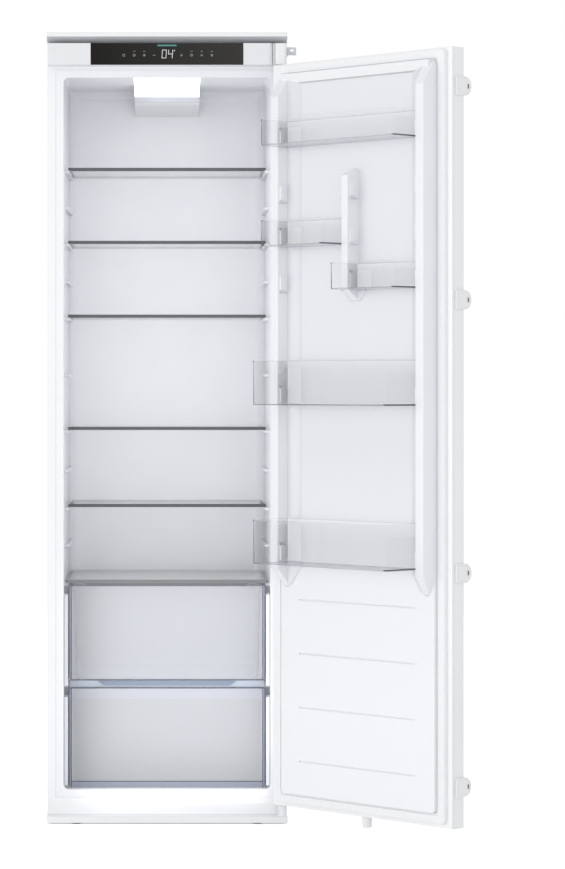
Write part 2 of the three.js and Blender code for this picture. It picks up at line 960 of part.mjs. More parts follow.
function topFlange() {
  const slopeFoot = noseY + topFlangeSlope;
  const shape = outline([
    [noseY, flangeBottom + topFlangeHeight - topFlangeThickness],
    [slopeFoot, flangeBottom],
    [frontY - fitGap, flangeBottom],
    [frontY - fitGap, shellTop + fitGap],
    [noseY + topFlangeDepth, shellTop + fitGap],
    [noseY + topFlangeDepth, cabinetHeight, doorCornerRadius],
    [noseY, cabinetHeight, doorCornerRadius / 2],
  ]);
  return prism("x", shape, -halfWidth, halfWidth);
}

function controlFascia() {
  const left = -halfWidth + hingeCoverReveal;
  const back = frontY - fitGap;
  const plan = outline([
    [left, back],
    [left, fasciaY, fasciaCornerRadius],
    [fasciaRight, fasciaY, fasciaEndRadius],
    [fasciaRight, back],
  ]);
  const body = prism("z", plan, fasciaBottom, fasciaTop, fineArcSteps);
  const hollow = block(
    left + fasciaWall,
    fasciaRight - fasciaEndRadius / 2,
    fasciaY + controlGlassThickness + fitGap + fasciaWall,
    back + cutOverrun,
    fasciaBottom + fasciaWall,
    fasciaTop - fasciaWall,
  );
  const half = controlGlassWidth / 2 + fitGap;
  const glassSeat = block(
    -half,
    half,
    fasciaY - cutOverrun,
    fasciaY + controlGlassThickness + fitGap,
    fasciaBottom - cutOverrun,
    fasciaTop + cutOverrun,
  );
  const posts = [-1, 1].map((side) =>
    barAlongY(
      side * (controlGlassWidth / 2 - controlBoardInset * 2),
      (fasciaBottom + fasciaTop) / 2,
      controlPostRadius,
      fasciaY + controlGlassThickness + fasciaWall,
      fasciaY + controlBoardInset - fitGap,
      roundSides / 3,
    ),
  );
  return joined([without(body, [hollow, glassSeat]), ...posts]);
}

function controlGlass() {
  const half = controlGlassWidth / 2;
  const shape = outline([
    [fasciaY, fasciaBottom, controlGlassThickness / 3],
    [fasciaY + controlGlassThickness, fasciaBottom],
    [fasciaY + controlGlassThickness, fasciaTop],
    [fasciaY, fasciaTop, controlGlassThickness / 3],
  ]);
  return prism("x", shape, -half, half);
}

function controlBoard() {
  const half = controlGlassWidth / 2 - controlBoardInset;
  const face = fasciaY + controlBoardInset;
  const low = fasciaBottom + fasciaWall * 2;
  const high = fasciaTop - fasciaWall * 2;
  const board = block(-half, half, face, face + controlBoardThickness, low, high);
  const middle = (low + high) / 2;
  const chips = [-1, 0, 1].map((place) => {
    const centre = (place * half) / 2;
    const size = (high - low) / 5;
    return block(
      centre - size,
      centre + size,
      face + controlBoardThickness / 2,
      face + controlBoardThickness * 2,
      middle - size,
      middle + size,
    );
  });
  return joined([board, ...chips]);
}

// Hinge pieces: each bracket carries half of the door's pivot

function lowerHingeBracket() {
  const left = halfWidth - hingeBayWidth + hingeCoverReveal / 3;
  const right = halfWidth - hingeCoverReveal;
  const back = frontY - fitGap;
  const bossTop = doorBottom - bushLip - fitGap * 2;
  const foot = block(left, right, pivotY - hingeBossRadius, back, shellBottom, shellBottom + hingeSheet);
  const upright = block(left, right, back - hingeSheet, back, shellBottom, bossTop);
  const boss = post(pivotX, pivotY, hingeBossRadius, shellBottom, bossTop);
  const pin = post(pivotX, pivotY, hingePinRadius, bossTop - cutOverrun, bossTop + hingePinLength);
  return joined([foot, upright, boss, pin]);
}

function upperHingeBracket() {
  const left = hingeCoverLeft + hingeCoverWall + fitGap;
  const right = halfWidth - hingeCoverReveal - hingeCoverWall - fitGap;
  const back = frontY - fitGap;
  const front = frontY - hingeCoverReach + hingeCoverWall + fitGap;
  const armLow = doorTop + bushLip + fitGap * 2;
  const upright = block(left, right, back - hingeSheet, back, armLow, fasciaTop - hingeCoverWall * 4);
  const arm = prism(
    "z",
    outline([
      [left, back],
      [left, pivotY + hingeBossRadius],
      [pivotX - hingePinRadius * 2, front, hingePinRadius],
      [right, front, hingeCoverRadius - hingeCoverWall],
      [right, back],
    ]),
    armLow,
    armLow + hingeSheet,
  );
  const pin = post(pivotX, pivotY, hingePinRadius, armLow - hingePinLength, armLow + hingeSheet / 2);
  return joined([upright, arm, pin]);
}

function upperHingeCover() {
  const right = halfWidth - hingeCoverReveal;
  const back = frontY - fitGap;
  const front = frontY - hingeCoverReach;
  const low = fasciaBottom + fitGap * 2;
  const plan = (inset, rear) =>
    outline([
      [hingeCoverLeft + inset, front + inset, hingeCoverRadius - inset],
      [right - inset, front + inset, hingeCoverRadius - inset],
      [right - inset, rear],
      [hingeCoverLeft + inset, rear],
    ]);
  const body = prism("z", plan(0, back), low, fasciaTop, fineArcSteps);
  const hollow = prism(
    "z",
    plan(hingeCoverWall, back + cutOverrun),
    low - cutOverrun,
    fasciaTop - hingeCoverWall,
    fineArcSteps,
  );
  return body.subtract(hollow);
}

// The steel tab beside the cabinet's top that is screwed to the niche
function nicheFixingTab() {
  const side = halfWidth + fitGap;
  const low = cabinetHeight - tabDrop - tabHeight;
  const high = cabinetHeight - tabDrop;
  const leg = block(side, side + tabThickness, frontY, frontY + tabLeg, low, high);
  const face = prism(
    "y",
    roundedRectangle(side, side + tabReach, low, high, tabThickness),
    frontY - tabThickness,
    frontY + tabThickness / 4,
  );
  const lipEnd = side + tabReach - tabThickness;
  const lip = block(side, lipEnd, frontY - tabThickness * 3, frontY, low, low + tabThickness);
  const middleX = side + (tabReach + tabThickness) / 2;
  const middleZ = (low + high) / 2 + tabThickness;
  const slot = prism(
    "y",
    roundedRectangle(
      middleX - tabSlotLength / 2,
      middleX + tabSlotLength / 2,
      middleZ - tabSlotWidth / 2,
      middleZ + tabSlotWidth / 2,
      tabSlotWidth * 0.49,
    ),
    frontY - cutOverrun,
    frontY + cutOverrun,
  );
  return joined([leg, face, lip]).subtract(slot);
}

// Light and fan unit

function lightLens() {
  const half = fanUnitWidth / 2;
  const high = cavityTop - fitGap;
  const shape = outline([
    [inDepth(lensFront), high - lensThickness, lensThickness / 2],
    [inDepth(fanUnitFront) - lensThickness, high - lensThickness],
    [inDepth(fanUnitFront) - lensThickness, cavityTop - lensDrop],
    [inDepth(fanUnitFront), cavityTop - lensDrop],
    [inDepth(fanUnitFront), high],
    [inDepth(lensFront), high],
  ]);
  return prism("x", shape, -half, half);
}

function fanHousing() {
  const half = fanUnitWidth / 2;
  const front = inDepth(fanUnitFront) + fitGap;
  const back = inDepth(cavityDepth);
  const under = (y) => fanUnitBottom + (fanUnitSlope * (back - y)) / (back - front);
  const above = cavityTop + ceilingRise;
  const outer = prism(
    "x",
    outline([
      [front, under(front), fanUnitRadius],
      [back + cutOverrun, under(back)],
      [back + cutOverrun, above],
      [front, above],
    ]),
    -half,
    half,
  ).intersect(cavityForm(-fitGap));
  const hollowFront = front + fanUnitWall;
  const hollowBack = back - cavityBackRadius;
  const hollow = prism(
    "x",
    outline([
      [hollowFront, under(hollowFront) + fanUnitWall],
      [hollowBack, under(hollowBack) + fanUnitWall],
      [hollowBack, above + cutOverrun],
      [hollowFront, above + cutOverrun],
    ]),
    -half + fanUnitWall,
    half - fanUnitWall,
  );
  const slots = [];
  for (const start of [outletStart, outletStart + intakeStart]) {
    for (let i = 0; i < louvreSlots; i++) {
      const place = front + start + louvreSlotPitch * i;
      slots.push(
        block(
          -half - cutOverrun,
          half + cutOverrun,
          place,
          place + louvreSlotWidth,
          under(place) + louvreMargin,
          cavityTop - louvreMargin,
        ),
      );
    }
  }
  const postFront = front + fanMotorPlace + fanMotorLength + fitGap;
  const motorPost = block(
    -fanPostWidth / 2,
    fanPostWidth / 2,
    postFront,
    postFront + fanPostThickness,
    under(postFront) + fanUnitWall / 2,
    fanAxisLevel + fanMotorRadius,
  );
  return joined([without(outer, [hollow, ...slots]), motorPost]);
}

function fanMotor() {
  const front = inDepth(fanUnitFront) + fitGap + fanMotorPlace;
  const body = barAlongY(0, fanAxisLevel, fanMotorRadius, front, front + fanMotorLength);
  const noseRadius = fanMotorRadius / 2;
  const nose = barAlongY(0, fanAxisLevel, noseRadius, front - fanShaftRadius, front + fanShaftRadius);
  const shaft = barAlongY(0, fanAxisLevel, fanShaftRadius, front - fanShaftLength, front + fanShaftRadius);
  return joined([body, nose, shaft]);
}

function fanRotor() {
  const motorFront = inDepth(fanUnitFront) + fitGap + fanMotorPlace;
  const back = motorFront - fanShaftRadius - fitGap * 2;
  const front = back - rotorLength - fanShaftRadius;
  const boreEnd = motorFront - fanShaftLength - fitGap;
  const noseFront = Math.min(front, boreEnd - fanShaftRadius);
  const boreRadius = fanShaftRadius + shaftPlay;
  const hub = turnedSolid([
    [0, noseFront],
    [rotorHubRadius * 0.7, noseFront],
    [rotorHubRadius, noseFront + rotorHubRadius * 0.3],
    [rotorHubRadius, back],
    [boreRadius, back],
    [boreRadius, boreEnd],
    [0, boreEnd],
  ]);
  const blades = [];
  const rootRadius = (rotorHubRadius + boreRadius) / 2;
  for (let i = 0; i < rotorBladeCount; i++) {
    const blade = new THREE.BoxGeometry(
      rotorRadius - rootRadius,
      rotorBladeChord,
      rotorBladeThickness,
      rotorBladeSteps,
      1,
      1,
    );
    blade.translate((rotorRadius + rootRadius) / 2, 0, 0);
    const places = blade.attributes.position;
    for (let p = 0; p < places.count; p++) {
      const along = (places.getX(p) - rootRadius) / (rotorRadius - rootRadius);
      const angle = Math.PI / 2 - rotorBladePitch + rotorBladeTwist * along;
      const point = new THREE.Vector3().fromBufferAttribute(places, p);
      point.applyAxisAngle(new THREE.Vector3(1, 0, 0), -angle + Math.PI / 2);
      places.setXYZ(p, point.x, point.y, point.z);
    }
    blade.rotateX(Math.PI / 2);
    blade.translate(0, 0, (front + back) / 2);
    const turned = solidOf(blade).rotate(0, 0, (360 / rotorBladeCount) * i);
    blades.push(turned);
  }
  return joined([hub, ...blades]).rotate(-90, 0, 0).translate(0, 0, fanAxisLevel);
}

function lightBoard() {
  const half = fanUnitWidth / 2 - fanUnitWall * 3;
  const face = inDepth(fanUnitFront) + fitGap * 2 + fanUnitWall;
  const board = block(
    -half,
    half,
    face,
    face + lightBoardThickness,
    cavityTop - lensDrop + fanUnitWall,
    cavityTop - fanUnitWall * 2,
  );
  return board;
}

// Shelves: a pane held in the groove of a frame

function ringFrame(half, front, back, level, rearRadius) {
  const plan = outline([
    [-half, inDepth(front), shelfFrameHeight / 3],
    [half, inDepth(front), shelfFrameHeight / 3],
    [half, inDepth(back), rearRadius],
    [-half, inDepth(back), rearRadius],
  ]);
  const low = level - shelfFrameHeight / 2;
  const high = level + shelfFrameHeight / 2;
  const body = prism("z", plan, low, high);
  const inner = prism(
    "z",
    roundedRectangle(
      -half + shelfSideRail,
      half - shelfSideRail,
      inDepth(front) + shelfFrontRail,
      inDepth(back) - shelfRearRail,
      shelfFrameHeight / 2,
    ),
    low - cutOverrun,
    high + cutOverrun,
  );
  return without(body, [inner, glassPane(half, front, back, level, fitGap)]);
}

function glassPane(half, front, back, level, grow) {
  const edge = half - shelfSideRail + paneGrip + grow;
  const radius = Math.max(shelfRearRadius - shelfSideRail, shelfFrameHeight);
  return prism(
    "z",
    outline([
      [-edge, inDepth(front) + shelfFrontRail - paneGrip - grow],
      [edge, inDepth(front) + shelfFrontRail - paneGrip - grow],
      [edge, inDepth(back) - shelfRearRail + paneGrip + grow, radius],
      [-edge, inDepth(back) - shelfRearRail + paneGrip + grow, radius],
    ]),
    level - paneThickness / 2 - grow,
    level + paneThickness / 2 + grow,
  );
}

function coverFrame(half, back) {
  const lip = block(
    -coverLipWidth / 2,
    coverLipWidth / 2,
    inDepth(coverFront) + coverLipThickness / 2,
    inDepth(coverFront) + coverLipThickness * 1.5,
    coverLevel - shelfFrameHeight / 2 - coverLipHeight,
    coverLevel - paneThickness / 2 - fitGap * 2,
  );
  return joined([ringFrame(half, coverFront, back, coverLevel, shelfRearRadius), lip]);
}

// A clear drawer: a tall front, a tub behind it and a rim that runs on the liner's ribs
function drawer(bottom, top, back) {
  const half = cavityHalf - drawerSideGap;
  const front = inDepth(drawerFront);
  const rear = inDepth(back);
  const rimLevel = top - drawerRimDrop;
  const face = prism(
    "y",
    outline([
      [-half, bottom, drawerCornerRadius],
      [half, bottom, drawerCornerRadius],
      [half, top, drawerTopRadius],
      [-half, top, drawerTopRadius],
    ]),
    front,
    front + drawerFrontWall,
    fineArcSteps,
  );
  const tubHalf = half - drawerTubInset;
  const tubView = (inset, high) =>
    outline([
      [-tubHalf + drawerTubTaper + inset, bottom + inset, drawerCornerRadius],
      [tubHalf - drawerTubTaper - inset, bottom + inset, drawerCornerRadius],
      [tubHalf - inset, high],
      [-tubHalf + inset, high],
    ]);
  const tub = prism("y", tubView(0, rimLevel), front + drawerFrontWall / 2, rear);
  const hollow = prism(
    "y",
    tubView(drawerWall, top + cutOverrun),
    front + drawerFrontWall,
    rear - drawerWall,
  );
  const rimHalf = cavityHalf - shelfSideGap;
  const rimFront = front + drawerFrontWall + drawerRimLead;
  const rim = block(-rimHalf, rimHalf, rimFront, rear, rimLevel - drawerRimThickness, rimLevel);
  const grip = block(
    -tubHalf,
    tubHalf,
    front + drawerFrontWall / 2,
    front + drawerGripDepth,
    top - drawerWall * 1.5,
    top - drawerWall * 0.5,
  );
  return joined([without(joined([tub, rim]), [hollow]), face, grip]);
}

// Machine compartment

function compressorBaseLevel() {
  return baseSheet + fitGap + carrierSheet + grommetHeight + fitGap;
}

function bayCentreY() {
  return (inDepth(stepBack) + inDepth(backPanelDepth)) / 2;
}

function grommetPlaces() {
  const across = compressorPlateWidth / 2 - grommetInset;
  const along = compressorPlateDepth / 2 - grommetInset;
  const places = [];
  for (const x of [-across, across]) {
    for (const y of [-along, along]) places.push([compressorPlace + x, bayCentreY() + y]);
  }
  return places;
}

function compressorCarrier() {
  const half = halfWidth - baseSheet - carrierInset;
  const low = baseSheet + fitGap;
  const front = bayCentreY() - compressorPlateDepth / 2 - carrierMargin;
  const back = bayCentreY() + compressorPlateDepth / 2 + carrierMargin;
  const channel = prism(
    "x",
    outline([
      [front, low],
      [back, low],
      [back, low + carrierHeight],
      [back - carrierSheet, low + carrierHeight],
      [back - carrierSheet, low + carrierSheet],
      [front + carrierSheet, low + carrierSheet],
      [front + carrierSheet, low + carrierHeight],
      [front, low + carrierHeight],
    ]),
    -half,
    half,
  );
  const seat = low + carrierSheet;
  const grommets = grommetPlaces().map(([x, y]) =>
    turnedSolid(
      [
        [0, seat - carrierSheet / 2],
        [grommetRadius, seat - carrierSheet / 2],
        [grommetRadius * 0.8, seat + grommetHeight / 2],
        [grommetRadius, seat + grommetHeight],
        [studRadius, seat + grommetHeight],
        [studRadius, seat + grommetHeight + compressorPlateThickness * 3],
        [0, seat + grommetHeight + compressorPlateThickness * 3],
      ],
      roundSides / 2,
    ).translate(x, y, 0),
  );
  return joined([channel, ...grommets]);
}

function compressor() {
  const base = compressorBaseLevel();
  const plateTop = base + compressorPlateThickness;
  const centreY = bayCentreY();
  const plate = prism(
    "z",
    roundedRectangle(
      compressorPlace - compressorPlateWidth / 2,
      compressorPlace + compressorPlateWidth / 2,
      centreY - compressorPlateDepth / 2,
      centreY + compressorPlateDepth / 2,
      compressorPlateRadius,
    ),
    base,
    plateTop,
  );
  const holes = grommetPlaces().map(([x, y]) =>
    post(x, y, studRadius + studPlay, base - cutOverrun, plateTop + cutOverrun, roundSides / 2),
  );
  const seamLevel = plateTop + compressorHeight * 0.55;
  const bodyRadius = compressorRadius - compressorSeam;
  const pot = turnedSolid(
    [
      [0, plateTop - compressorPlateThickness / 2],
      [bodyRadius * 0.72, plateTop - compressorPlateThickness / 2],
      [bodyRadius * 0.92, plateTop + compressorHeight * 0.1],
      [bodyRadius, plateTop + compressorHeight * 0.25],
      [bodyRadius, seamLevel - compressorSeam],
      [compressorRadius, seamLevel - compressorSeam / 2],
      [compressorRadius, seamLevel + compressorSeam / 2],
      [bodyRadius, seamLevel + compressorSeam],
      [bodyRadius * 0.97, plateTop + compressorHeight * 0.78],
      [bodyRadius * 0.84, plateTop + compressorHeight * 0.92],
      [bodyRadius * 0.55, plateTop + compressorHeight],
      [0, plateTop + compressorHeight],
    ],
    roundSides + roundSides / 3,
  ).translate(compressorPlace, centreY, 0);
  const suction = pipe(
    [
      new THREE.Vector3(compressorPlace, centreY, plateTop + compressorHeight * 0.7),
      new THREE.Vector3(suctionPlace(), centreY, plateTop + compressorHeight * 0.7),
      new THREE.Vector3(suctionPlace(), centreY, bayTop - sheetWall - fitGap),
    ],
    pipeRadius,
    pipeSides,
    pipeBendRadius,
  );
  const dischargeLevel = plateTop + compressorHeight * 0.35;
  const discharge = barAlongX(
    centreY,
    dischargeLevel,
    pipeRadius,
    compressorPlace,
    compressorPlace + compressorRadius + pipeBendRadius,
    pipeSides,
  );
  return joined([without(joined([plate, pot]), holes), suction, discharge]);
}

function suctionPlace() {
  return compressorPlace - compressorRadius - pipeBendRadius * 1.5;
}

function dischargePlace() {
  const level = compressorBaseLevel() + compressorPlateThickness + compressorHeight * 0.35;
  return new THREE.Vector3(compressorPlace + compressorRadius + pipeBendRadius, bayCentreY(), level);
}

function dripTray() {
  const low = compressorBaseLevel() + compressorPlateThickness + compressorHeight + fitGap;
  const centreY = bayCentreY();
  const plan = (inset) =>
    roundedRectangle(
      compressorPlace - trayWidth / 2 + inset,
      compressorPlace + trayWidth / 2 - inset,
      centreY - trayDepth / 2 + inset,
      centreY + trayDepth / 2 - inset,
      trayCornerRadius - inset,
    );
  const body = prism("z", plan(0), low, low + trayHeight);
  return body.subtract(prism("z", plan(trayWall), low + trayWall, low + trayHeight + cutOverrun));
}

// The box on the compressor's side that holds its relay and the power inlet
function terminalBox() {
  const level = compressorBaseLevel() + compressorPlateThickness + compressorHeight * 0.3;
  const front = bayCentreY() + compressorRadius - compressorSeam;
  const back = Math.min(front + terminalBoxDepth, rearY - baseRearInset);
  const body = prism(
    "y",
    roundedRectangle(
      compressorPlace - terminalBoxWidth / 2,
      compressorPlace + terminalBoxWidth / 2,
      level,
      level + terminalBoxHeight,
      terminalBoxRadius,
    ),
    front - compressorRadius / 2,
    back - glandLength,
  );
  const seat = turnedSolid(
    [
      [0, level - cutOverrun],
      [compressorRadius + fitGap, level - cutOverrun],
      [compressorRadius + fitGap, level + terminalBoxHeight + cutOverrun],
      [0, level + terminalBoxHeight + cutOverrun],
    ],
    roundSides + roundSides / 3,
  ).translate(compressorPlace, bayCentreY(), 0);
  const glandLevel = level + terminalBoxHeight / 2;
  const gland = barAlongY(compressorPlace, glandLevel, glandRadius, back - glandLength * 1.5, back);
  const bore = barAlongY(
    compressorPlace,
    glandLevel,
    glandBore,
    back - glandLength * 1.4,
    back + cutOverrun,
  );
  return without(joined([body.subtract(seat), gland]), [bore]);
}

// Condenser: one tube from the compressor, up the back and down in turns to the filter dryer
function condenserTube() {
  const half = condenserWidth / 2;
  const low = shellTop * condenserBottomShare;
  const high = shellTop * condenserTopShare;
  const depth = inDepth(backPanelDepth) + condenserTubeRadius + fitGap * 2 + condenserTubeRadius;
  const start = dischargePlace();
  const pitch = (high - low) / (condenserTurns * 2);
  const riser = half + pitch / 2;
  const corners = [
    new THREE.Vector3(start.x + fitGap, start.y, start.z),
    new THREE.Vector3(riser, start.y, start.z),
    new THREE.Vector3(riser, depth, start.z),
    new THREE.Vector3(riser, depth, high),
  ];
  for (let turn = 0; turn < condenserTurns; turn++) {
    const level = high - pitch * 2 * turn;
    if (turn > 0) corners.push(new THREE.Vector3(half, depth, level));
    corners.push(new THREE.Vector3(-half, depth, level));
    corners.push(new THREE.Vector3(-half, depth, level - pitch));
    corners.push(new THREE.Vector3(half, depth, level - pitch));
  }
  const last = corners[corners.length - 1];
  corners.pop();
  const dryerX = half - pitch;
  corners.push(new THREE.Vector3(dryerX, depth, last.z));
  corners.push(new THREE.Vector3(dryerX, depth, bayTop - sheetWall - dryerLength - pipeBendRadius));
  const tube = pipe(corners, condenserTubeRadius, condenserTubeSides, pipeBendRadius, 2);
  const dryerTop = bayTop - sheetWall - pipeBendRadius;
  const dryer = turnedSolid(
    [
      [0, dryerTop - dryerLength],
      [condenserTubeRadius, dryerTop - dryerLength],
      [dryerRadius, dryerTop - dryerLength + dryerRadius],
      [dryerRadius, dryerTop - dryerRadius],
      [condenserTubeRadius, dryerTop],
      [0, dryerTop],
    ],
    roundSides / 2,
  ).translate(dryerX, depth, 0);
  return joined([tube, dryer]);
}

function condenserGrid() {
  const half = condenserWidth / 2;
  const low = shellTop * condenserBottomShare - condenserStrapHeight * 2;
  const high = shellTop * condenserTopShare + condenserStrapHeight * 2;
  const face = inDepth(backPanelDepth) + fitGap * 3 + condenserTubeRadius * 3;
  const wires = [];
  const pitch = (condenserWidth - condenserSpacerWidth * 4) / (condenserWires - 1);
  for (let i = 0; i < condenserWires; i++) {
    const x = -half + condenserSpacerWidth * 2 + pitch * i;
    wires.push(
      block(
        x - condenserWireWidth / 2,
        x + condenserWireWidth / 2,
        face,
        face + condenserWireWidth,
        low,
        high,
      ),
    );
  }
  const strapFace = face + condenserWireWidth * 0.6;
  const reach = half + condenserSpacerWidth * 2;
  const panelFace = inDepth(backPanelDepth) + fitGap;
  const straps = [];
  for (const level of [low, high - condenserStrapHeight]) {
    const strapHigh = level + condenserStrapHeight;
    straps.push(block(-reach, reach, strapFace, strapFace + condenserStrapThickness, level, strapHigh));
    for (const side of [-1, 1]) {
      const outer = side * reach;
      const inner = side * (reach - condenserSpacerWidth / 2);
      straps.push(
        block(
          Math.min(outer, inner),
          Math.max(outer, inner),
          panelFace,
          strapFace + condenserStrapThickness,
          level,
          strapHigh,
        ),
      );
    }
  }
  return joined([...wires, ...straps]);
}

// Door pieces, drawn closed in the leaf's own frame

function bushSeat(low, high, grow) {
  return block(
    pivotX - bushWidth / 2 - grow,
    doorHalf + grow * cutOverrun,
    -doorFaceY - bushDepth * bushShare - grow,
    -doorFaceY + bushDepth * (1 - bushShare) + grow,
    low - grow * cutOverrun,
    high + grow,
  );
}

function doorOuterPanel() {
  const inner = doorHalf - doorSheet;
  const seam = -doorFlangeThickness - fitGap;
  const plan = outline([
    [-doorHalf, seam],
    [-doorHalf, -doorThickness * 0.18 + edgeGrooveWidth],
    [-doorHalf + edgeGrooveDepth, -doorThickness * 0.18],
    [-doorHalf, -doorThickness * 0.18 - edgeGrooveWidth],
    [-doorHalf, -doorThickness * 0.82 + edgeGrooveWidth],
    [-doorHalf + edgeGrooveDepth, -doorThickness * 0.82],
    [-doorHalf, -doorThickness * 0.82 - edgeGrooveWidth],
    [-doorHalf, -doorThickness, doorCornerRadius],
    [doorHalf, -doorThickness, doorCornerRadius],
    [doorHalf, seam],
  ]);
  const body = prism("z", plan, doorBottom, doorTop);
  const hollow = block(
    -inner,
    inner,
    -doorThickness + doorSheet,
    seam + cutOverrun,
    doorBottom + doorSheet,
    doorTop - doorSheet,
  );
  const lowerNotch = bushSeat(doorBottom - cutOverrun, doorBottom + bushHeight, fitGap);
  const upperNotch = bushSeat(doorTop - bushHeight - fitGap * 2, doorTop + cutOverrun, fitGap);
  return without(body, [hollow, lowerNotch, upperNotch]);
}

// The white corner block that holds a hinge pin's bush: its lip meets the bracket
function doorBush(low, high, lipLow, lipHigh) {
  const body = bushSeat(low, high, 0);
  const lip = post(pivotX, -doorFaceY, hingePinRadius * 1.6, lipLow, lipHigh);
  const boreRadius = hingePinRadius + pinPlay;
  const boreLow = lipLow - bushHeight - cutOverrun;
  const bore = post(pivotX, -doorFaceY, boreRadius, boreLow, lipHigh + bushHeight + cutOverrun);
  return joined([body, lip]).subtract(bore);
}

// The door liner's inner form, with all its faces drawn in by one inset
function doorForm(inset) {
  const base = -doorFlangeThickness - cutOverrun;
  const pad = prism(
    "y",
    roundedRectangle(
      -padHalf + inset,
      padHalf - inset,
      padBottom + inset,
      padTop - inset,
      padRadius - inset,
    ),
    base,
    padHeight - inset,
  );
  const dikes = [-1, 1].map((side) => dikeForm(side, inset));
  return joined([pad, padRail(inset), ...dikes, columnForm(inset)]);
}

// The rail along the pad's top, with a slanted underside
function padRail(inset) {
  const half = padHalf - padRadius - inset;
  const crest = padHeight + padRailRise - inset;
  const edge = padTop - padRailFace + inset * padRailShare;
  const shape = outline([
    [0, padTop - inset],
    [crest, padTop - inset],
    [crest, edge],
    [padHeight - inset, edge - padRailRun],
    [0, edge - padRailRun],
  ]);
  return prism("x", shape, -half, half);
}

// The lines pressed into the pad's lower part, grown outwards by a wall
function embossGrooves(grow) {
  const reach = padHalf * embossWidthShare + grow;
  const half = embossWidth / 2 + grow;
  return embossShares.map((share) => {
    const level = doorLevel(share);
    return block(
      -reach,
      reach,
      padHeight - embossDepth - grow,
      padHeight + cutOverrun,
      level - half,
      level + half,
    );
  });
}

function dikeForm(side, inset) {
  const low = doorLevel(dikeBottomShare) + inset;
  const high = padTop - dikeTopInset - inset;
  const crest = dikeHeight - inset;
  const ramp = prism(
    "x",
    outline([
      [0, low],
      [padHeight - inset, low],
      [crest, low + dikeRampRun, dikeRadius],
      [crest, high - dikeTopRun, dikeRadius],
      [padHeight - inset, high],
      [0, high],
    ]),
    -halfWidth,
    halfWidth,
  );
  const outer = padHalf - inset;
  const inner = dikeInner + inset;
  const ledge = inner - dikeLean - dikeLedgeWidth;
  const tip = dikeInner + dikeLean;
  const tipHalf = (dikeTipWidth - inset) / 2;
  const turn = low + dikeRampRun;
  const mirrored = (corners) => outline(corners.map(([x, y, radius]) => [side * x, y, radius]));
  const face = mirrored([
    [outer, turn],
    [tip + tipHalf, low],
    [tip - tipHalf, low],
    [inner - dikeFoot, turn],
    [inner - dikeFoot, high],
    [outer, high, padRadius - inset],
  ]);
  const section = mirrored([
    [outer, 0],
    [outer, crest, dikeRadius - inset],
    [inner, crest, dikeRadius - inset],
    [inner - dikeLean, dikeShoulder - inset],
    [ledge, dikeShoulder - dikeLedgeDrop - inset],
    [inner - dikeFoot, padHeight - inset],
    [inner - dikeFoot, 0],
  ]);
  return prism("z", section, low, high).intersect(ramp).intersect(prism("y", face, 0, crest));
}

function columnForm(inset) {
  const low = doorLevel(columnBottomShare) + inset;
  const high = doorLevel(columnTopShare) - inset;
  const half = columnWidth / 2 - inset;
  const crest = dikeHeight - inset;
  const stem = prism(
    "y",
    outline([
      [-half, low],
      [half, low],
      [half, high, half * 0.95],
      [-half, high, half * 0.95],
    ]),
    0,
    crest,
    fineArcSteps,
  );
  const foot = columnFootWidth / 2 - inset;
  const reach = columnFootReach / 2 - inset;
  const turn = low + columnFootRun;
  const base = prism(
    "y",
    outline([
      [-foot, low],
      [foot, low],
      [reach, turn],
      [half, turn + columnRun],
      [-half, turn + columnRun],
      [-reach, turn],
    ]),
    0,
    padHeight + columnFootRise - inset,
  );
  const ramp = prism(
    "x",
    outline([
      [0, low],
      [padHeight - inset, low],
      [crest, low + columnRun, dikeRadius],
      [crest, high - columnTopRun, dikeRadius],
      [padHeight - inset, high],
      [0, high],
    ]),
    -halfWidth,
    halfWidth,
  );
  return joined([stem, base]).intersect(ramp);
}

// The lug on a dike or on the column that carries a bin's ear
function binLug(wallX, reachX, level) {
  const top = level + lugDrop + lugHeight;
  return block(Math.min(wallX, reachX), Math.max(wallX, reachX), lugBack, lugFront, top - lugHeight, top);
}

function doorLiner() {
  const half = doorHalf - doorFlangeInset;
  const flange = block(
    -half,
    half,
    -doorFlangeThickness,
    0,
    doorBottom + doorFlangeInset,
    doorTop - doorFlangeInset,
  );
  const behind = block(
    -doorHalf,
    doorHalf,
    -doorThickness,
    -doorFlangeThickness,
    doorBottom,
    doorTop,
  );
  const raised = doorForm(0).subtract(behind);
  const hollow = without(doorForm(doorLinerWall), embossGrooves(doorLinerWall));
  const lugTip = binHalf + fitGap;
  const dikeInside = dikeInner + doorLinerWall;
  const columnTip = binColumnSide() - fitGap;
  const columnInside = columnWidth / 2 - doorLinerWall / 2;
  const dikeLug = (side, level) => binLug(side * dikeInside, side * lugTip, level);
  const columnLug = (side, level) => binLug(side * columnInside, side * columnTip, level);
  const lugs = bins().flatMap(({ left, right, level }) => [
    left < -columnTip ? dikeLug(-1, level) : columnLug(1, level),
    right > columnTip ? dikeLug(1, level) : columnLug(-1, level),
  ]);
  for (const [side, share] of spareLugShares) {
    lugs.push(dikeLug(side, doorLevel(share)), columnLug(side, doorLevel(share)));
  }
  return without(joined([flange, raised, ...lugs]), [hollow, ...embossGrooves(0)]);
}

function doorFoam() {
  const half = doorHalf - doorSheet - fitGap;
  const slab = block(
    -half,
    half,
    -doorThickness + doorSheet + fitGap,
    -doorFlangeThickness - fitGap,
    doorBottom + doorSheet + fitGap,
    doorTop - doorSheet - fitGap,
  );
  const fill = doorForm(doorLinerWall + fitGap).intersect(
    block(-half, half, -doorFlangeThickness - fitGap * 2, dikeHeight, doorBottom, doorTop),
  );
  return without(joined([slab, fill]), [
    ...embossGrooves(doorLinerWall + fitGap),
    bushSeat(doorBottom - cutOverrun, doorBottom + bushHeight, fitGap * 2),
    bushSeat(doorTop - bushHeight - fitGap * 2, doorTop + cutOverrun, fitGap * 2),
  ]);
}

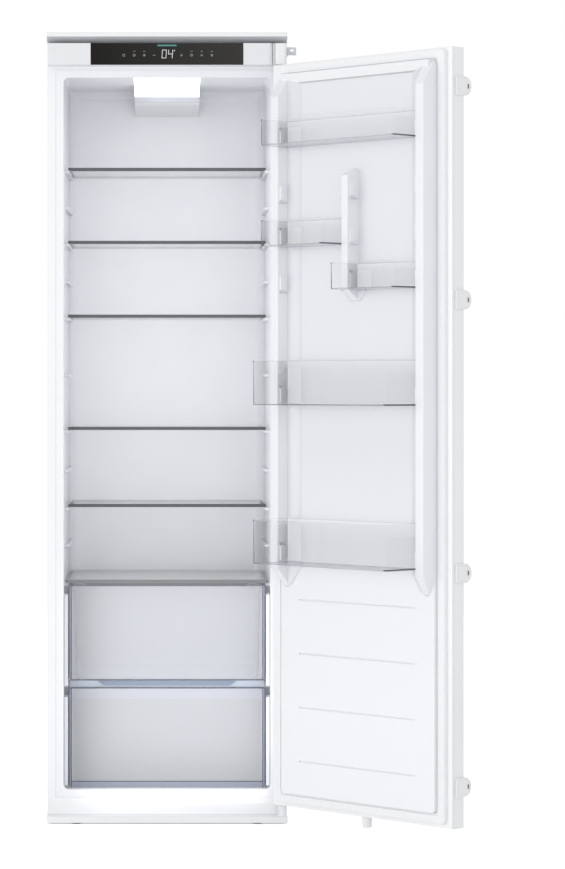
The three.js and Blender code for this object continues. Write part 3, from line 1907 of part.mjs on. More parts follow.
function doorGasket() {
  const outX = frameHalf - fitGap * 2;
  const inX = cavityHalf;
  const outLow = frameBottom + fitGap * 2;
  const outHigh = frameTop - fitGap * 2;
  const ring = (inset, from, to) => {
    const outer = roundedRectangle(-outX + inset, outX - inset, outLow + inset, outHigh - inset, padRadius);
    const hole = roundedRectangle(
      -inX - inset,
      inX + inset,
      cavityBottom - inset,
      cavityTop + inset,
      padRadius / 2,
    );
    const solid = prism("y", outer, from, to, 1);
    return solid.subtract(prism("y", hole, from - cutOverrun, to + cutOverrun, 1));
  };
  const waist = (outX - inX) / 6;
  const reach = gasketGap - fitGap;
  const lipX = padHalf + fitGap * 2;
  const lipOuter = roundedRectangle(-outX, outX, outLow, outHigh, padRadius);
  const lipInner = roundedRectangle(
    -lipX,
    lipX,
    padBottom - fitGap * 2,
    padTop + fitGap * 2,
    padRadius + fitGap * 2,
  );
  const lipReach = reach * gasketLipShare;
  const lip = prism("y", lipOuter, fitGap, lipReach, 1).subtract(
    prism("y", lipInner, fitGap - cutOverrun, lipReach + cutOverrun),
  );
  return joined([
    lip,
    ring(0, fitGap, reach * 0.3),
    ring(waist, fitGap, reach * 0.75),
    ring(0, reach * 0.6, reach),
  ]);
}

function binColumnSide() {
  return columnWidth / 2 + binGapToDike * 0.64;
}

// Each door bin's two ends, its underside, its height and how far it reaches inwards
function bins() {
  const side = binColumnSide();
  const spans = [
    [-binHalf, binHalf, shallowBinHeight, shallowBinReach],
    [side, binHalf, shallowBinHeight, shallowBinReach],
    [-binHalf, -side, shallowBinHeight, shallowBinReach],
    [-binHalf, binHalf, deepBinHeight, deepBinReach],
    [-binHalf, binHalf, deepBinHeight, deepBinReach],
  ];
  return spans.map(([left, right, height, reach], i) => ({
    left,
    right,
    height,
    reach,
    level: doorLevel(binHeightShares[i]),
  }));
}

function doorBin({ left, right, height, reach, level }) {
  const back = dikeShoulder + binRearInset;
  const tubReach = reach - binRimProud;
  const tub = (inset, low, high) => {
    const plan = outline([
      [left + inset, back + inset, binRimHeight],
      [right - inset, back + inset, binRimHeight],
      [right - inset, tubReach - inset, binCornerRadius - inset],
      [left + inset, tubReach - inset, binCornerRadius - inset],
    ]);
    const lean = outline([
      [back, level + inset],
      [tubReach - binFrontLean - inset, level + inset, binRimHeight],
      [tubReach - inset, level + height + cutOverrun],
      [back, level + height + cutOverrun],
    ]);
    return prism("z", plan, low, high, fineArcSteps).intersect(prism("x", lean, left, right));
  };
  const rimPlan = outline([
    [left, back, binRimHeight],
    [right, back, binRimHeight],
    [right, reach, binCornerRadius],
    [left, reach, binCornerRadius],
  ]);
  const rim = prism("z", rimPlan, level + height - binRimHeight, level + height, fineArcSteps);
  const hollow = tub(binWall, level + binWall, level + height + cutOverrun);
  const earLow = level + lugDrop + lugHeight + fitGap;
  const earHigh = earLow + binEarHeight;
  const columnTip = binColumnSide();
  const ears = [
    [left, left - (left < -columnTip ? binEarWidth : binGapToDike * 0.5)],
    [right, right + (right > columnTip ? binEarWidth : binGapToDike * 0.5)],
  ].map(([wallX, tipX]) => {
    const inside = wallX + (wallX - tipX) * 0.2;
    return block(Math.min(inside, tipX), Math.max(inside, tipX), lugBack, lugFront, earLow, earHigh);
  });
  const walls = joined([tub(0, level, level + height), rim]).subtract(hollow);
  return joined([walls, ...ears]);
}

function slideBracket(level) {
  const inner = -doorHalf - fitGap;
  const outer = inner - slideBracketThickness;
  const half = slideBracketHeight / 2;
  const shape = outline([
    [-slideBracketStart, level + half, slideBracketThickness],
    [-slideBracketReach, level + half, half * 0.98],
    [-slideBracketReach, level - half, half * 0.98],
    [-slideBracketStart, level - half, slideBracketThickness],
  ]);
  const rimShape = outline([
    [-slideBracketStart, level + half, slideBracketThickness],
    [-slideBracketReach, level + half, half * 0.98],
    [-slideBracketReach, level - half, half * 0.98],
    [-slideBracketStart, level - half, slideBracketThickness],
  ]);
  const rimWidth = slideBracketThickness;
  const rimHole = outline([
    [-slideBracketStart - rimWidth, level + half - rimWidth, rimWidth],
    [-slideBracketReach + rimWidth, level + half - rimWidth, (half - rimWidth) * 0.98],
    [-slideBracketReach + rimWidth, level - half + rimWidth, (half - rimWidth) * 0.98],
    [-slideBracketStart - rimWidth, level - half + rimWidth, rimWidth],
  ]);
  const plate = prism("x", shape, outer, inner, fineArcSteps);
  const rim = prism("x", rimShape, outer - slideBracketRim, inner, fineArcSteps).subtract(
    prism("x", rimHole, outer - cutOverrun, inner + cutOverrun, fineArcSteps),
  );
  const slotPlace = -slideBracketReach + slideBracketHeight / 4;
  const slot = block(
    outer - cutOverrun,
    inner + cutOverrun,
    slotPlace - slideBracketSlotWidth / 2,
    slotPlace + slideBracketSlotWidth / 2,
    level - slideBracketSlotHeight / 2,
    level + slideBracketSlotHeight / 2,
  );
  const screws = [-1, 1].map((side) =>
    barAlongX(
      -slideBracketStart - slideBracketHeight / 4,
      level + (side * half) / 3,
      slideScrewRadius,
      outer - slideScrewHead,
      outer + slideScrewHead,
      roundSides / 2,
    ),
  );
  return joined([plate.subtract(slot), rim, ...screws]);
}

function doorPeg() {
  const high = doorBottom - fitGap;
  const low = high - pegLength;
  const peg = turnedSolid([
    [0, low],
    [pegRadius - pegTaper * 2, low],
    [pegRadius - pegTaper, low + pegTaper],
    [pegRadius, high],
    [0, high],
  ]);
  return peg.translate(0, -pegSetback, 0);
}

// The refrigerator

const refrigerator = new THREE.Group();

function addCabinet(group) {
  place(group, "outer_shell", outerShell(), "whiteSteel");
  place(group, "back_panel", backPanel(), "zincSteel");
  place(group, "insulation_foam", insulation(), "foam");
  place(group, "inner_liner", innerLiner(), "linerPlastic");
  place(group, "evaporator_plate", evaporator(), "aluminium");
  place(group, "drain_tube", drainTube(), "whitePlastic");
  place(group, "base_plate", basePlate(), "whiteSteel");
  place(group, "base_front_rail", frontRail(), "whitePlastic");
  place(group, "front_foot_left", frontFoot(-1), "darkPlastic");
  place(group, "front_foot_right", frontFoot(1), "darkPlastic");
  place(group, "rear_runner", rearRunner(), "darkPlastic");
  place(group, "niche_fixing_tab", nicheFixingTab(), "greySteel");
}

function addTop(group) {
  place(group, "top_flange", topFlange(), "whitePlastic");
  place(group, "control_fascia", controlFascia(), "whitePlastic");
  place(group, "control_glass", controlGlass(), "blackGlass");
  place(group, "control_board", controlBoard(), "boardGreen");
  place(group, "upper_hinge_bracket", upperHingeBracket(), "zincSteel");
  place(group, "upper_hinge_cover", upperHingeCover(), "whitePlastic");
  place(group, "lower_hinge_bracket", lowerHingeBracket(), "zincSteel");
}

function addFanUnit(group) {
  place(group, "light_lens", lightLens(), "lensPlastic");
  place(group, "light_board", lightBoard(), "boardGreen");
  place(group, "fan_housing", fanHousing(), "whitePlastic");
  place(group, "fan_motor", fanMotor(), "blackEnamel");
  place(group, "fan_rotor", fanRotor(), "whitePlastic");
}

function addMachineCompartment(group) {
  place(group, "compressor_carrier", compressorCarrier(), "zincSteel");
  place(group, "compressor", compressor(), "blackEnamel");
  place(group, "drip_tray", dripTray(), "darkPlastic");
  place(group, "terminal_box", terminalBox(), "darkPlastic");
  place(group, "condenser_tube", condenserTube(), "blackEnamel");
  place(group, "condenser_grid", condenserGrid(), "blackEnamel");
}

function addShelves(group) {
  const half = cavityHalf - shelfSideGap;
  const back = cavityDepth - shelfRearGap;
  shelfHeightShares.forEach((share, i) => {
    const level = cavityLevel(share);
    const frame = ringFrame(half, shelfFront, back, level, shelfRearRadius);
    place(group, `shelf_frame_${i + 1}`, frame, "frameGrey");
    place(group, `shelf_pane_${i + 1}`, glassPane(half, shelfFront, back, level, 0), "clearGlass");
  });
  const coverHalf = cavityHalf - coverSideGap;
  place(group, "crisper_cover_frame", coverFrame(coverHalf, back), "frameGrey");
  place(group, "crisper_cover_pane", glassPane(coverHalf, coverFront, back, coverLevel, 0), "clearGlass");
}

function addDrawers(group) {
  const upper = drawer(upperDrawerBottom, upperDrawerTop, cavityDepth - upperDrawerRearGap);
  const lower = drawer(lowerDrawerBottom, lowerDrawerTop, stepDepth - drawerRearGap);
  place(group, "drawer_upper", upper, "clearPlastic");
  place(group, "drawer_lower", lower, "clearPlastic");
}

function addDoor(group) {
  const hinge = new THREE.Group();
  hinge.position.set(pivotX, pivotY, 0);
  hinge.rotation.z = THREE.MathUtils.degToRad(doorOpenDegrees);
  const leaf = new THREE.Group();
  leaf.position.set(-pivotX, doorFaceY, 0);
  hinge.add(leaf);
  group.add(hinge);
  place(leaf, "door_outer_panel", doorOuterPanel(), "whiteSteel");
  place(leaf, "door_foam", doorFoam(), "foam");
  place(leaf, "door_liner", doorLiner(), "linerPlastic");
  place(leaf, "door_gasket", doorGasket(), "gasketGrey");
  const bushTop = doorBottom + bushHeight;
  const lowerBush = doorBush(doorBottom, bushTop, doorBottom - bushLip, doorBottom + bushLip);
  const upperBush = doorBush(doorTop - bushHeight, doorTop, doorTop - bushLip, doorTop + bushLip);
  place(leaf, "door_lower_bush", lowerBush, "whitePlastic");
  place(leaf, "door_upper_bush", upperBush, "whitePlastic");
  place(leaf, "door_bottom_peg", doorPeg(), "whitePlastic");
  slideBracketShares.forEach((share, i) => {
    place(leaf, `slide_bracket_${i + 1}`, slideBracket(doorLevel(share)), "whitePlastic");
  });
  bins().forEach((bin, i) => {
    place(leaf, `door_bin_${i + 1}`, doorBin(bin), "clearPlastic");
  });
}

addCabinet(refrigerator);
addTop(refrigerator);
addFanUnit(refrigerator);
addMachineCompartment(refrigerator);
addShelves(refrigerator);
addDrawers(refrigerator);
addDoor(refrigerator);

export default refrigerator;
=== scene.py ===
"""Finishes for a built-in larder refrigerator that stands with its door open.

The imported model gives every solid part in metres. This add-on rounds their edges, gives them
their finishes, and adds the small pieces: the display's signs, the drawers' grip, and the seams,
strips, slots and screws.
"""

import json
import math
from typing import NamedTuple

import bmesh
import bpy
from bpy.props import FloatProperty, FloatVectorProperty, PointerProperty
from mathutils import Matrix, Vector


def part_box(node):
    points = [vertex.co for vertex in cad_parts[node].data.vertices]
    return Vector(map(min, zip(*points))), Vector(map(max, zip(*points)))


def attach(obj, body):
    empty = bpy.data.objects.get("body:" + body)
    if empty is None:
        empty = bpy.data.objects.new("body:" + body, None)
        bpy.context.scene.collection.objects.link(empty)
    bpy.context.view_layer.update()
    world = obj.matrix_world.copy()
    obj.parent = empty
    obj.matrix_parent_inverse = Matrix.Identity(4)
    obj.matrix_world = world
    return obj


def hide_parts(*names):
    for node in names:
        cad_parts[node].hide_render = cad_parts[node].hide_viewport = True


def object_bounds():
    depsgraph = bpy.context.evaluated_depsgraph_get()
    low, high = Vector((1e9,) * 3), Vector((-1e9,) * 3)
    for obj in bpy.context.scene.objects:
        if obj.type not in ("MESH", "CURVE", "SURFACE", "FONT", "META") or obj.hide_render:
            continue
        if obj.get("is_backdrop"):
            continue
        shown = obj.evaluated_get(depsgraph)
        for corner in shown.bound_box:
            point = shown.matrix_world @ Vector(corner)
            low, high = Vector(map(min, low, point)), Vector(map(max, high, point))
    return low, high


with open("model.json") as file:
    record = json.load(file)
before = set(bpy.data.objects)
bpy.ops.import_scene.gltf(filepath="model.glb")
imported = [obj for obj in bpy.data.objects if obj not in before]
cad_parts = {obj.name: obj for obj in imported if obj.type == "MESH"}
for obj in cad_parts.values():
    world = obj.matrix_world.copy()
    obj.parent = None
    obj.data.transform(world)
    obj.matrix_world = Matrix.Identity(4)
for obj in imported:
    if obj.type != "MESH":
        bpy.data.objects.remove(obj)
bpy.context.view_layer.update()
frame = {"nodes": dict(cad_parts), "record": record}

bl_info = {
    "name": "Larder refrigerator finishes",
    "version": (1, 0, 0),
    "blender": (4, 5, 0),
    "location": "3D View > Sidebar > Refrigerator",
    "description": "Rounds, finishes and details the parts of a built-in larder refrigerator",
    "category": "Object",
}

MM = 0.001
RECORD = frame["record"]
BODY_OF = {
    node: body
    for body, nodes in RECORD["behaviour"]["bodies"].items()
    for node in nodes
}
SLOT_OF = {part["node"]: part["material_slot"] for part in RECORD["subparts"]}

# Points closer than this are one, and edges are found by the angle between their faces
WELD = 0.01 * MM
FLAT_ANGLE = math.radians(0.5)
ROUNDED_ANGLE = math.radians(40)
CREASE_ANGLE = math.radians(50)

# Shares of the usual rounding on thin parts and on small ones
THIN = 0.5
SMALL = 0.6

# Heights of the door's foot and head, and how far its inner face stands behind the hinge pins
DOOR_FOOT = 42 * MM
DOOR_HEAD = 1697 * MM
INNER_FACE = 25.6 * MM


def linear(hex_colour):
    """An sRGB hex colour as the linear red, green, blue and alpha that a shader takes."""
    parts = [int(hex_colour[i : i + 2], 16) / 255 for i in (1, 3, 5)]
    turned = [c / 12.92 if c <= 0.04045 else ((c + 0.055) / 1.055) ** 2.4 for c in parts]
    return (*turned, 1.0)


def length_property(name, description, default_mm):
    """A length in millimetres as a Blender distance."""
    return FloatProperty(
        name=name,
        description=description,
        default=default_mm * MM,
        min=0.0,
        unit="LENGTH",
        subtype="DISTANCE",
    )


def colour_property(name, description, hex_colour):
    """A colour with its default given as an sRGB hex value."""
    return FloatVectorProperty(
        name=name,
        description=description,
        default=linear(hex_colour),
        size=4,
        min=0.0,
        max=1.0,
        subtype="COLOR",
    )


class RefrigeratorSizes(bpy.types.PropertyGroup):
    """Sizes of the rounded edges and of the small pieces."""

    sheet_edge: length_property("Sheet edge", "Rounding of the folded steel's edges", 0.9)
    moulded_edge: length_property("Moulded edge", "Rounding of the moulded parts' edges", 0.7)
    clear_edge: length_property("Clear edge", "Rounding of the clear bins' and drawers' edges", 0.35)
    digit_height: length_property("Digit height", "Height of the display's digits", 18.0)
    digit_stroke: length_property("Digit stroke", "Width of a digit's strokes", 1.15)
    sign_size: length_property("Sign size", "Height of the small signs beside the digits", 6.0)
    print_height: length_property("Print height", "How far a printed sign stands off its glass", 0.12)
    lens_thickness: length_property("Lens thickness", "Thickness of the light's lens", 2.8)
    screw_head: length_property("Screw head", "Diameter of the screws' heads", 6.5)
    catch_width: length_property("Catch width", "How far a bin's catch reaches along its back", 44.0)
    catch_depth: length_property("Catch depth", "How far a bin's catch reaches along its end", 31.0)
    # Widths of painted shade: the dark line along a clear wall's edge, and the dark edge and pale core of
    # a drawer's panel
    edge_line: length_property("Edge line", "Width of the dark line along a clear wall's edge", 2.2)
    panel_edge: length_property("Panel edge", "Dark outer edge of a drawer's front panel", 4.2)
    panel_core: length_property("Panel core", "Pale band inside a drawer panel's dark edge", 2.6)
    panel_head: length_property("Panel head", "Height of the thicker top of the lower drawer", 26.0)
    # The band along a drawer's foot is painted shade, as are the lines and bands above
    panel_foot: length_property("Panel foot", "Height of the band along a drawer's foot", 13.0)


class RefrigeratorColours(bpy.types.PropertyGroup):
    """Colours of the finishes."""

    steel_white: colour_property("Steel white", "Powder coat of the cabinet and door", "#F3F4F6")
    moulded_white: colour_property("Moulded white", "Moulded covers, brackets and flange", "#F1F2F4")
    liner_white: colour_property("Liner white", "Formed inner walls of cabinet and door", "#F0F1F5")
    gasket_white: colour_property("Gasket", "Soft seal round the door", "#F6F7F9")
    print_black: colour_property("Printed glass", "Back print of the control glass", "#1C1B1A")
    # Painted reflection: the print's paler colour at the right end stands in for light mirrored by the
    # glass
    print_light: colour_property("Printed glass, right end", "Where the back print is palest", "#393836")
    bar_teal: colour_property("Light bar", "Lit bar above the digits", "#3E8078")
    digit_white: colour_property("Digits", "Lit digits and signs", "#C9CCCB")
    edge_grey: colour_property("Shelf edge", "Trim along the shelves' front edges", "#55575A")
    cover_grey: colour_property("Crisper trim", "Trim along the crisper cover's front", "#767779")
    # Painted shade: the dark blue-grey of the grip between the drawers
    grip_dark: colour_property("Drawer grip", "Grip between the drawers, seen along its wall", "#6F7A8C")
    grip_pale: colour_property("Drawer grip ledge", "Ledge behind the grip", "#A7AEBB")
    # Painted shade on the underside of the door's top rail and on the spare lugs' feet
    rail_shade: colour_property("Rail shade", "Underside of the door's top rail", "#C6C8CD")
    # Painted shade on the slopes at the foot of the door's side walls
    foot_shade: colour_property("Foot shade", "Slope at the foot of the door's side walls", "#DEE0E5")
    # Painted shade: the ribs darker than the liner they are formed in
    rib_shade: colour_property("Rib shade", "Ribs of the inner liner", "#DBDDE1")
    # Painted shade: the strips greyer than the liner, where the drawer lamp falls close
    strip_shade: colour_property("Strip shade", "Strips beside the drawers", "#D6D8DD")
    # Painted shade on the top flange's underside
    flange_shade: colour_property("Flange shade", "Underside of the top flange", "#C8CACE")
    # Painted light: a whiter tone for the door's flange and the face of its top rail, where they lie in
    # shade
    flange_white: colour_property("Flange white", "The inner panel's least stretched edge", "#F9FAFB")
    # Painted shade: the dark of the slide brackets' slots
    slot_dark: colour_property("Bracket slot", "Slots of the slide brackets", "#55575A")
    # Painted shade: the grey of the band under the light, in the shade of the cavity's top
    band_grey: colour_property("Fan band", "Printed band under the light", "#B9BBC1")
    fascia_white: colour_property("Fascia", "Moulded band round the control glass", "#E7E8EB")
    clear_face: colour_property("Clear face", "Clear plastic seen straight on", "#F1F3F7")
    # Painted shade: the dark blue-grey of clear plastic seen along its wall
    clear_side: colour_property("Clear side", "Clear plastic seen along its wall", "#555C6B")
    # The paler painted shade between a clear wall's dark edges
    clear_core: colour_property("Clear core", "The broad of a clear wall", "#989EAC")
    # Painted shade: the grey of a clear floor seen along its face
    clear_base: colour_property("Clear base", "Floors of the clear bins and drawers", "#8E95A3")
    enamel_black: colour_property("Black enamel", "Compressor and condenser", "#17181A")
    zinc_grey: colour_property("Zinc", "Galvanised brackets and back panel", "#B4B7B9")


# Materials


def add_node(tree, kind, inputs=None, **settings):
    """Adds one node with its settings, and its inputs as values or as links from other sockets."""
    node = tree.nodes.new(kind)
    for name, value in settings.items():
        setattr(node, name, value)
    for name, value in (inputs or {}).items():
        if isinstance(value, bpy.types.NodeSocket):
            tree.links.new(value, node.inputs[name])
        else:
            node.inputs[name].default_value = value
    return node


def empty_tree(owner):
    """The node tree of a material or a world, with nothing in it yet."""
    owner.use_nodes = True
    owner.node_tree.nodes.clear()
    return owner.node_tree


class Marks(NamedTuple):
    """A pattern's marks: their size, their stretch, and whether they are noise or closed cells."""

    size_mm: float
    stretch: tuple = (1, 1, 1)
    detail: float = 3.0
    cells: bool = False


class Finish(NamedTuple):
    """A material round one Principled shader. Its tones are mixed by its marks, by a place along an
    axis, or by how far the surface is turned from the eye."""

    # Pairs of a colour, by its property or as sRGB hex, and the share of it
    tones: tuple
    marks: Marks
    # Where each tone stands
    stops: tuple = (0.3, 0.7)
    # An axis and the two places on it between which the tones run, in metres
    along: tuple = ()
    # Power of the turn from the eye
    turn_power: float = 0.0
    # One value, or the values of a face seen straight on and along its wall
    opacity: float | tuple = 1.0
    # One value, or the lowest and highest, and the marks between them where these differ
    rough: float | tuple = 0.5
    gloss_marks: Marks = None
    # Depth in millimetres and strength of the relief, and its marks where these differ
    relief: tuple = ()
    relief_marks: Marks = None
    ior: float = 1.5
    specular: float = 0.5
    metallic: float = 0.0
    glow: float = 0.0


def shares_of(colour, dark, light=1.0):
    """Two shares of one colour."""
    return ((colour, dark), (colour, light))


def between(dark, light):
    """Two colours as they are."""
    return ((dark, 1.0), (light, 1.0))


# The slow waves of a formed sheet
WAVES = Marks(70, detail=1.5)


def toned_polystyrene(colour):
    """Vacuum-formed polystyrene in one tone, with the slow waves of its sheet."""
    return Finish(shares_of(colour, 0.985), WAVES, rough=0.32, relief=(0.08, 0.5), ior=1.59)


def see_through(face, side, opacity, power, rough=0.08):
    """A clear solid: nearly unseen straight on, and coloured where the eye runs along its wall, which is
    painted shade where the side colour is dark and painted sheen where it is pale.
    """
    stops, spread = (0.0, 1.0), (rough, rough * 1.6)
    marks = Marks(45, detail=1.0)
    return Finish(between(face, side), marks, stops, turn_power=power, opacity=opacity, rough=spread)


def tinted_styrene(colour, opacity, share=1.0):
    """One even tone of clear polystyrene, faintly streaked by its flow in the mould."""
    tones = shares_of(colour, 0.995 * share, share)
    return Finish(tones, Marks(30, (0.2, 1, 1), 1.0), opacity=opacity, rough=0.1, ior=1.59)


def frosted(opacity):
    """Clear polystyrene with a mould grain, so that it looks pale grey where it shows."""
    tones = between("#C3C5CA", "#D1D3D7")
    return Finish(tones, Marks(1), opacity=opacity, rough=0.5, relief=(0.02, 0.4), ior=1.59)


def drawn_aluminium(colour):
    """Anodised aluminium strip, satin, with drawn lines along X."""
    tones = shares_of(colour, 0.85, 1.15)
    return Finish(tones, Marks(0.6, (0.02, 1, 1)), rough=(0.3, 0.42), metallic=0.6)


def glowing_print(colour, glow, share=1.0):
    """A sign printed clear in black glass and lit from behind: even colour, slightly uneven light."""
    return Finish(shares_of(colour, 0.9 * share, share), Marks(2.5), rough=0.4, glow=glow)


FINISHES = {
    # Thin steel sheet with a baked powder coat: satin, with a faint orange peel 2 mm across
    "powder_coated_steel": Finish(
        shares_of("steel_white", 0.985),
        Marks(180),
        rough=(0.3, 0.42),
        gloss_marks=Marks(2),
        relief=(0.02, 0.4),
    ),
    # Injection-moulded ABS: an even white with the spark grain of its mould, drawn 0.8 mm coarse
    # because the real grain is too fine to show
    "moulded_abs": Finish(
        shares_of("moulded_white", 0.98),
        Marks(60),
        rough=(0.38, 0.5),
        gloss_marks=Marks(0.8),
        relief=(0.012, 0.5),
        ior=1.53,
    ),
    # The top flange's underside: a greyer white, painted shade
    "shaded_abs": Finish(shares_of("flange_shade", 0.97), Marks(30, detail=1.5), ior=1.52),
    # The band under the light: the same ABS, greyed as painted shade
    "fan_band_abs": Finish(shares_of("band_grey", 0.97), Marks(40), rough=0.45, ior=1.53),
    # The control fascia's moulded ABS: a satin white a little greyer than the covers
    "fascia_abs": Finish(
        shares_of("fascia_white", 0.98), Marks(90), rough=(0.36, 0.46), gloss_marks=Marks(1), ior=1.53
    ),
    # Vacuum-formed polystyrene sheet: glossy, with slow waves where it stretched over its mould
    "formed_polystyrene": Finish(
        shares_of("liner_white", 0.985),
        WAVES,
        rough=(0.26, 0.38),
        gloss_marks=Marks(1.5),
        relief=(0.12, 0.5),
        relief_marks=WAVES,
        ior=1.59,
    ),
    # The same sheet where it was drawn flat on the door, with painted shade: greyer half way up, where the
    # bins shade it
    "drawn_polystyrene": Finish(
        (("#F4F5F8", 1.0), ("#EEEFF3", 1.0), ("#E2E3E8", 1.0), ("#E6E7EB", 1.0)),
        WAVES,
        stops=(0.25, 0.6, 0.85, 0.99),
        along=("Z", 0.0, 1.0),
        rough=0.32,
        relief=(0.1, 0.5),
        ior=1.59,
    ),
    # The slopes at the foot of the door's side walls, greyed by painted shade
    "sloped_polystyrene": toned_polystyrene("foot_shade"),
    # The ribs of the inner liner, which hold the shelves: darker than the liner, painted shade
    "ribbed_polystyrene": toned_polystyrene("rib_shade"),
    # The strips beside the drawers, greyed by painted shade
    "strip_polystyrene": toned_polystyrene("strip_shade"),
    # The inner panel's flange and the face of its top rail: a whiter tone, painted light
    "flange_polystyrene": toned_polystyrene("flange_white"),
    # The underside of the door's top rail and the feet of the spare lugs: painted shade
    "rail_polystyrene": toned_polystyrene("rail_shade"),
    # The slots of the slide brackets: dark inserts, painted shade where hardly any light reaches
    "bracket_slot": toned_polystyrene("slot_dark"),
    # Extruded soft vinyl with a magnet strip: matt, with faint lines along its length
    "gasket_elastomer": Finish(
        shares_of("gasket_white", 0.94),
        Marks(1.2, (1, 1, 0.05)),
        rough=0.72,
        relief=(0.03, 0.4),
        ior=1.48,
    ),
    # Float glass printed on its back: a dim gloss over a warm black, with a painted reflection that pales
    # it towards the right end
    "printed_glass": Finish(
        between("print_black", "print_light"),
        Marks(30),
        stops=(0.0, 1.0),
        along=("X", -0.17, 0.17),
        rough=(0.12, 0.2),
        ior=1.52,
        specular=0.05,
    ),
    # Toughened float glass, 4 mm: clear, with a faint pale veil of painted sheen where it is seen along
    # its face
    "toughened_glass": see_through("#FAFBFB", "#F3F5F6", (0.01, 0.05), 4, 0.04),
    # The crisper cover's glass: nearly opaque white along its face, a painted reflection of the white
    # liner that it mirrors when it is seen from the front
    "cover_glass": see_through("#F4F5F7", "#F4F5F7", (0.02, 0.7), 4, 0.04),
    # Injection-moulded clear polystyrene: glass-like faces, and dark along a wall, painted shade
    "clear_styrene": see_through("clear_face", "clear_side", (0.005, 0.04), 6),
    # The drawers' side and rear walls: clear enough that the light runs through them, and grey along a
    # wall, painted shade
    "thin_clear_styrene": see_through("clear_face", "clear_core", (0.01, 0.2), 4),
    # The floor of a clear bin or drawer: grey where the eye runs along it, painted shade
    "styrene_base": see_through("clear_face", "clear_base", (0.06, 0.85), 5),
    # The moulded rails that carry a shelf's glass: clear, with a pale edge of painted sheen
    "clear_frame_styrene": see_through("#FAFBFC", "#EEF0F3", (0.02, 0.08), 4, 0.1),
    # The polished edge of a clear wall: painted shade, the dark blue-grey that the light inside the wall
    # gives it
    "styrene_edge": tinted_styrene("clear_side", 0.72),
    # The broad of a clear wall between its dark edges: a paler band of the same painted shade
    "styrene_core": tinted_styrene("clear_core", 0.62),
    # The thick foot of a bin's end wall, seen along its length: nearly opaque painted shade
    "styrene_foot": tinted_styrene("clear_side", 0.85, 0.5),
    # The upper drawer's front, 3 mm thick with a fine texture inside: pale and a little milky
    "styrene_panel": tinted_styrene("#BFC1C7", 0.4),
    # The lower drawer's front, which is seen against the darker foot of the cavity
    "styrene_lower_panel": tinted_styrene("#C2C4C9", 0.4),
    # The top of the lower drawer's front, where its wall is thicker
    "styrene_head": tinted_styrene("#C3C6CF", 0.42),
    # The ledge and the sloped grip between the drawers, nearly opaque: pale, and dark blue-grey, the
    # grip's dark being painted shade
    "styrene_ledge": tinted_styrene("grip_pale", 0.92),
    "styrene_grip": tinted_styrene("grip_dark", 0.95),
    # A bin's back wall: a milky white that is painted light, standing in for the white door behind it
    "milky_styrene": tinted_styrene("#F9FBFF", 0.55),
    # The textured catch on a bin's back wall
    "catch_styrene": tinted_styrene("#F0F1F4", 0.75),
    # Clear polystyrene grained on both faces, as on a bin's rim and on the outside of its catch
    "frosted_styrene": frosted(0.13),
    # Clear polystyrene grained on one face only, so that it hardly shows
    "fine_frosted_styrene": frosted(0.05),
    # The dark grey strip along a shelf's front
    "satin_aluminium_trim": drawn_aluminium("edge_grey"),
    # The paler strip along the front of the crisper's cover
    "pale_aluminium_trim": drawn_aluminium("cover_grey"),
    # Opal polycarbonate lit from behind: soft white with a faint cloud
    "lit_diffuser": Finish(
        between("#F4F7FF", "#FFFFFF"), Marks(40, detail=1.0), rough=0.35, glow=1.1
    ),
    # The display's print: bright digits, a teal bar and dim signs
    "lit_digits": glowing_print("digit_white", 0.62),
    "lit_bar": glowing_print("bar_teal", 0.35),
    "lit_signs": glowing_print("digit_white", 0.5, 0.4),
    # Hot-dip galvanised sheet: dull metal with spangles about 7 mm across
    "galvanised_steel": Finish(
        shares_of("zinc_grey", 0.86, 1.1), Marks(7, cells=True), rough=(0.34, 0.5), metallic=0.9
    ),
    # Dipped black paint on drawn steel and wire: semi-gloss, with slight runs
    "black_enamel": Finish(
        shares_of("enamel_black", 1.0, 1.8), Marks(8, (1, 1, 0.3)), rough=(0.3, 0.5), relief=(0.08, 0.4)
    ),
    # Dark glass-filled nylon, moulded: dry and slightly mottled, with fibre marks drawn 1 mm coarse
    "glass_filled_nylon": Finish(
        between("#2C2E30", "#3F4144"),
        Marks(1, (1, 0.2, 1)),
        rough=0.62,
        relief=(0.03, 0.5),
        ior=1.53,
    ),
    # Roll-bonded aluminium sheet: bright satin with rolling lines along Z
    "rolled_aluminium": Finish(
        between("#A9ADB0", "#C4C8CA"), Marks(0.8, (1, 1, 0.02)), rough=(0.25, 0.4), metallic=1.0
    ),
    # Rigid polyurethane foam with a smooth skin over 2 mm cells
    "cured_foam": Finish(
        between("#D8CA96", "#EADFB6"), Marks(2, cells=True), rough=0.9, relief=(0.3, 0.5)
    ),
    # Glass-epoxy board with green solder mask over 1.5 mm tracks
    "circuit_laminate": Finish(
        between("#1E5234", "#2F7A4B"), Marks(1.5, (1, 1, 4)), rough=0.45, relief=(0.03, 0.6)
    ),
}


def tone(colour, share):
    """A colour, by its property or as sRGB hex, made darker or lighter by a share."""
    known = linear(colour) if colour[0] == "#" else getattr(bpy.context.scene.refrigerator_colours, colour)
    return (*[min(1.0, c * share) for c in known[:3]], 1.0)


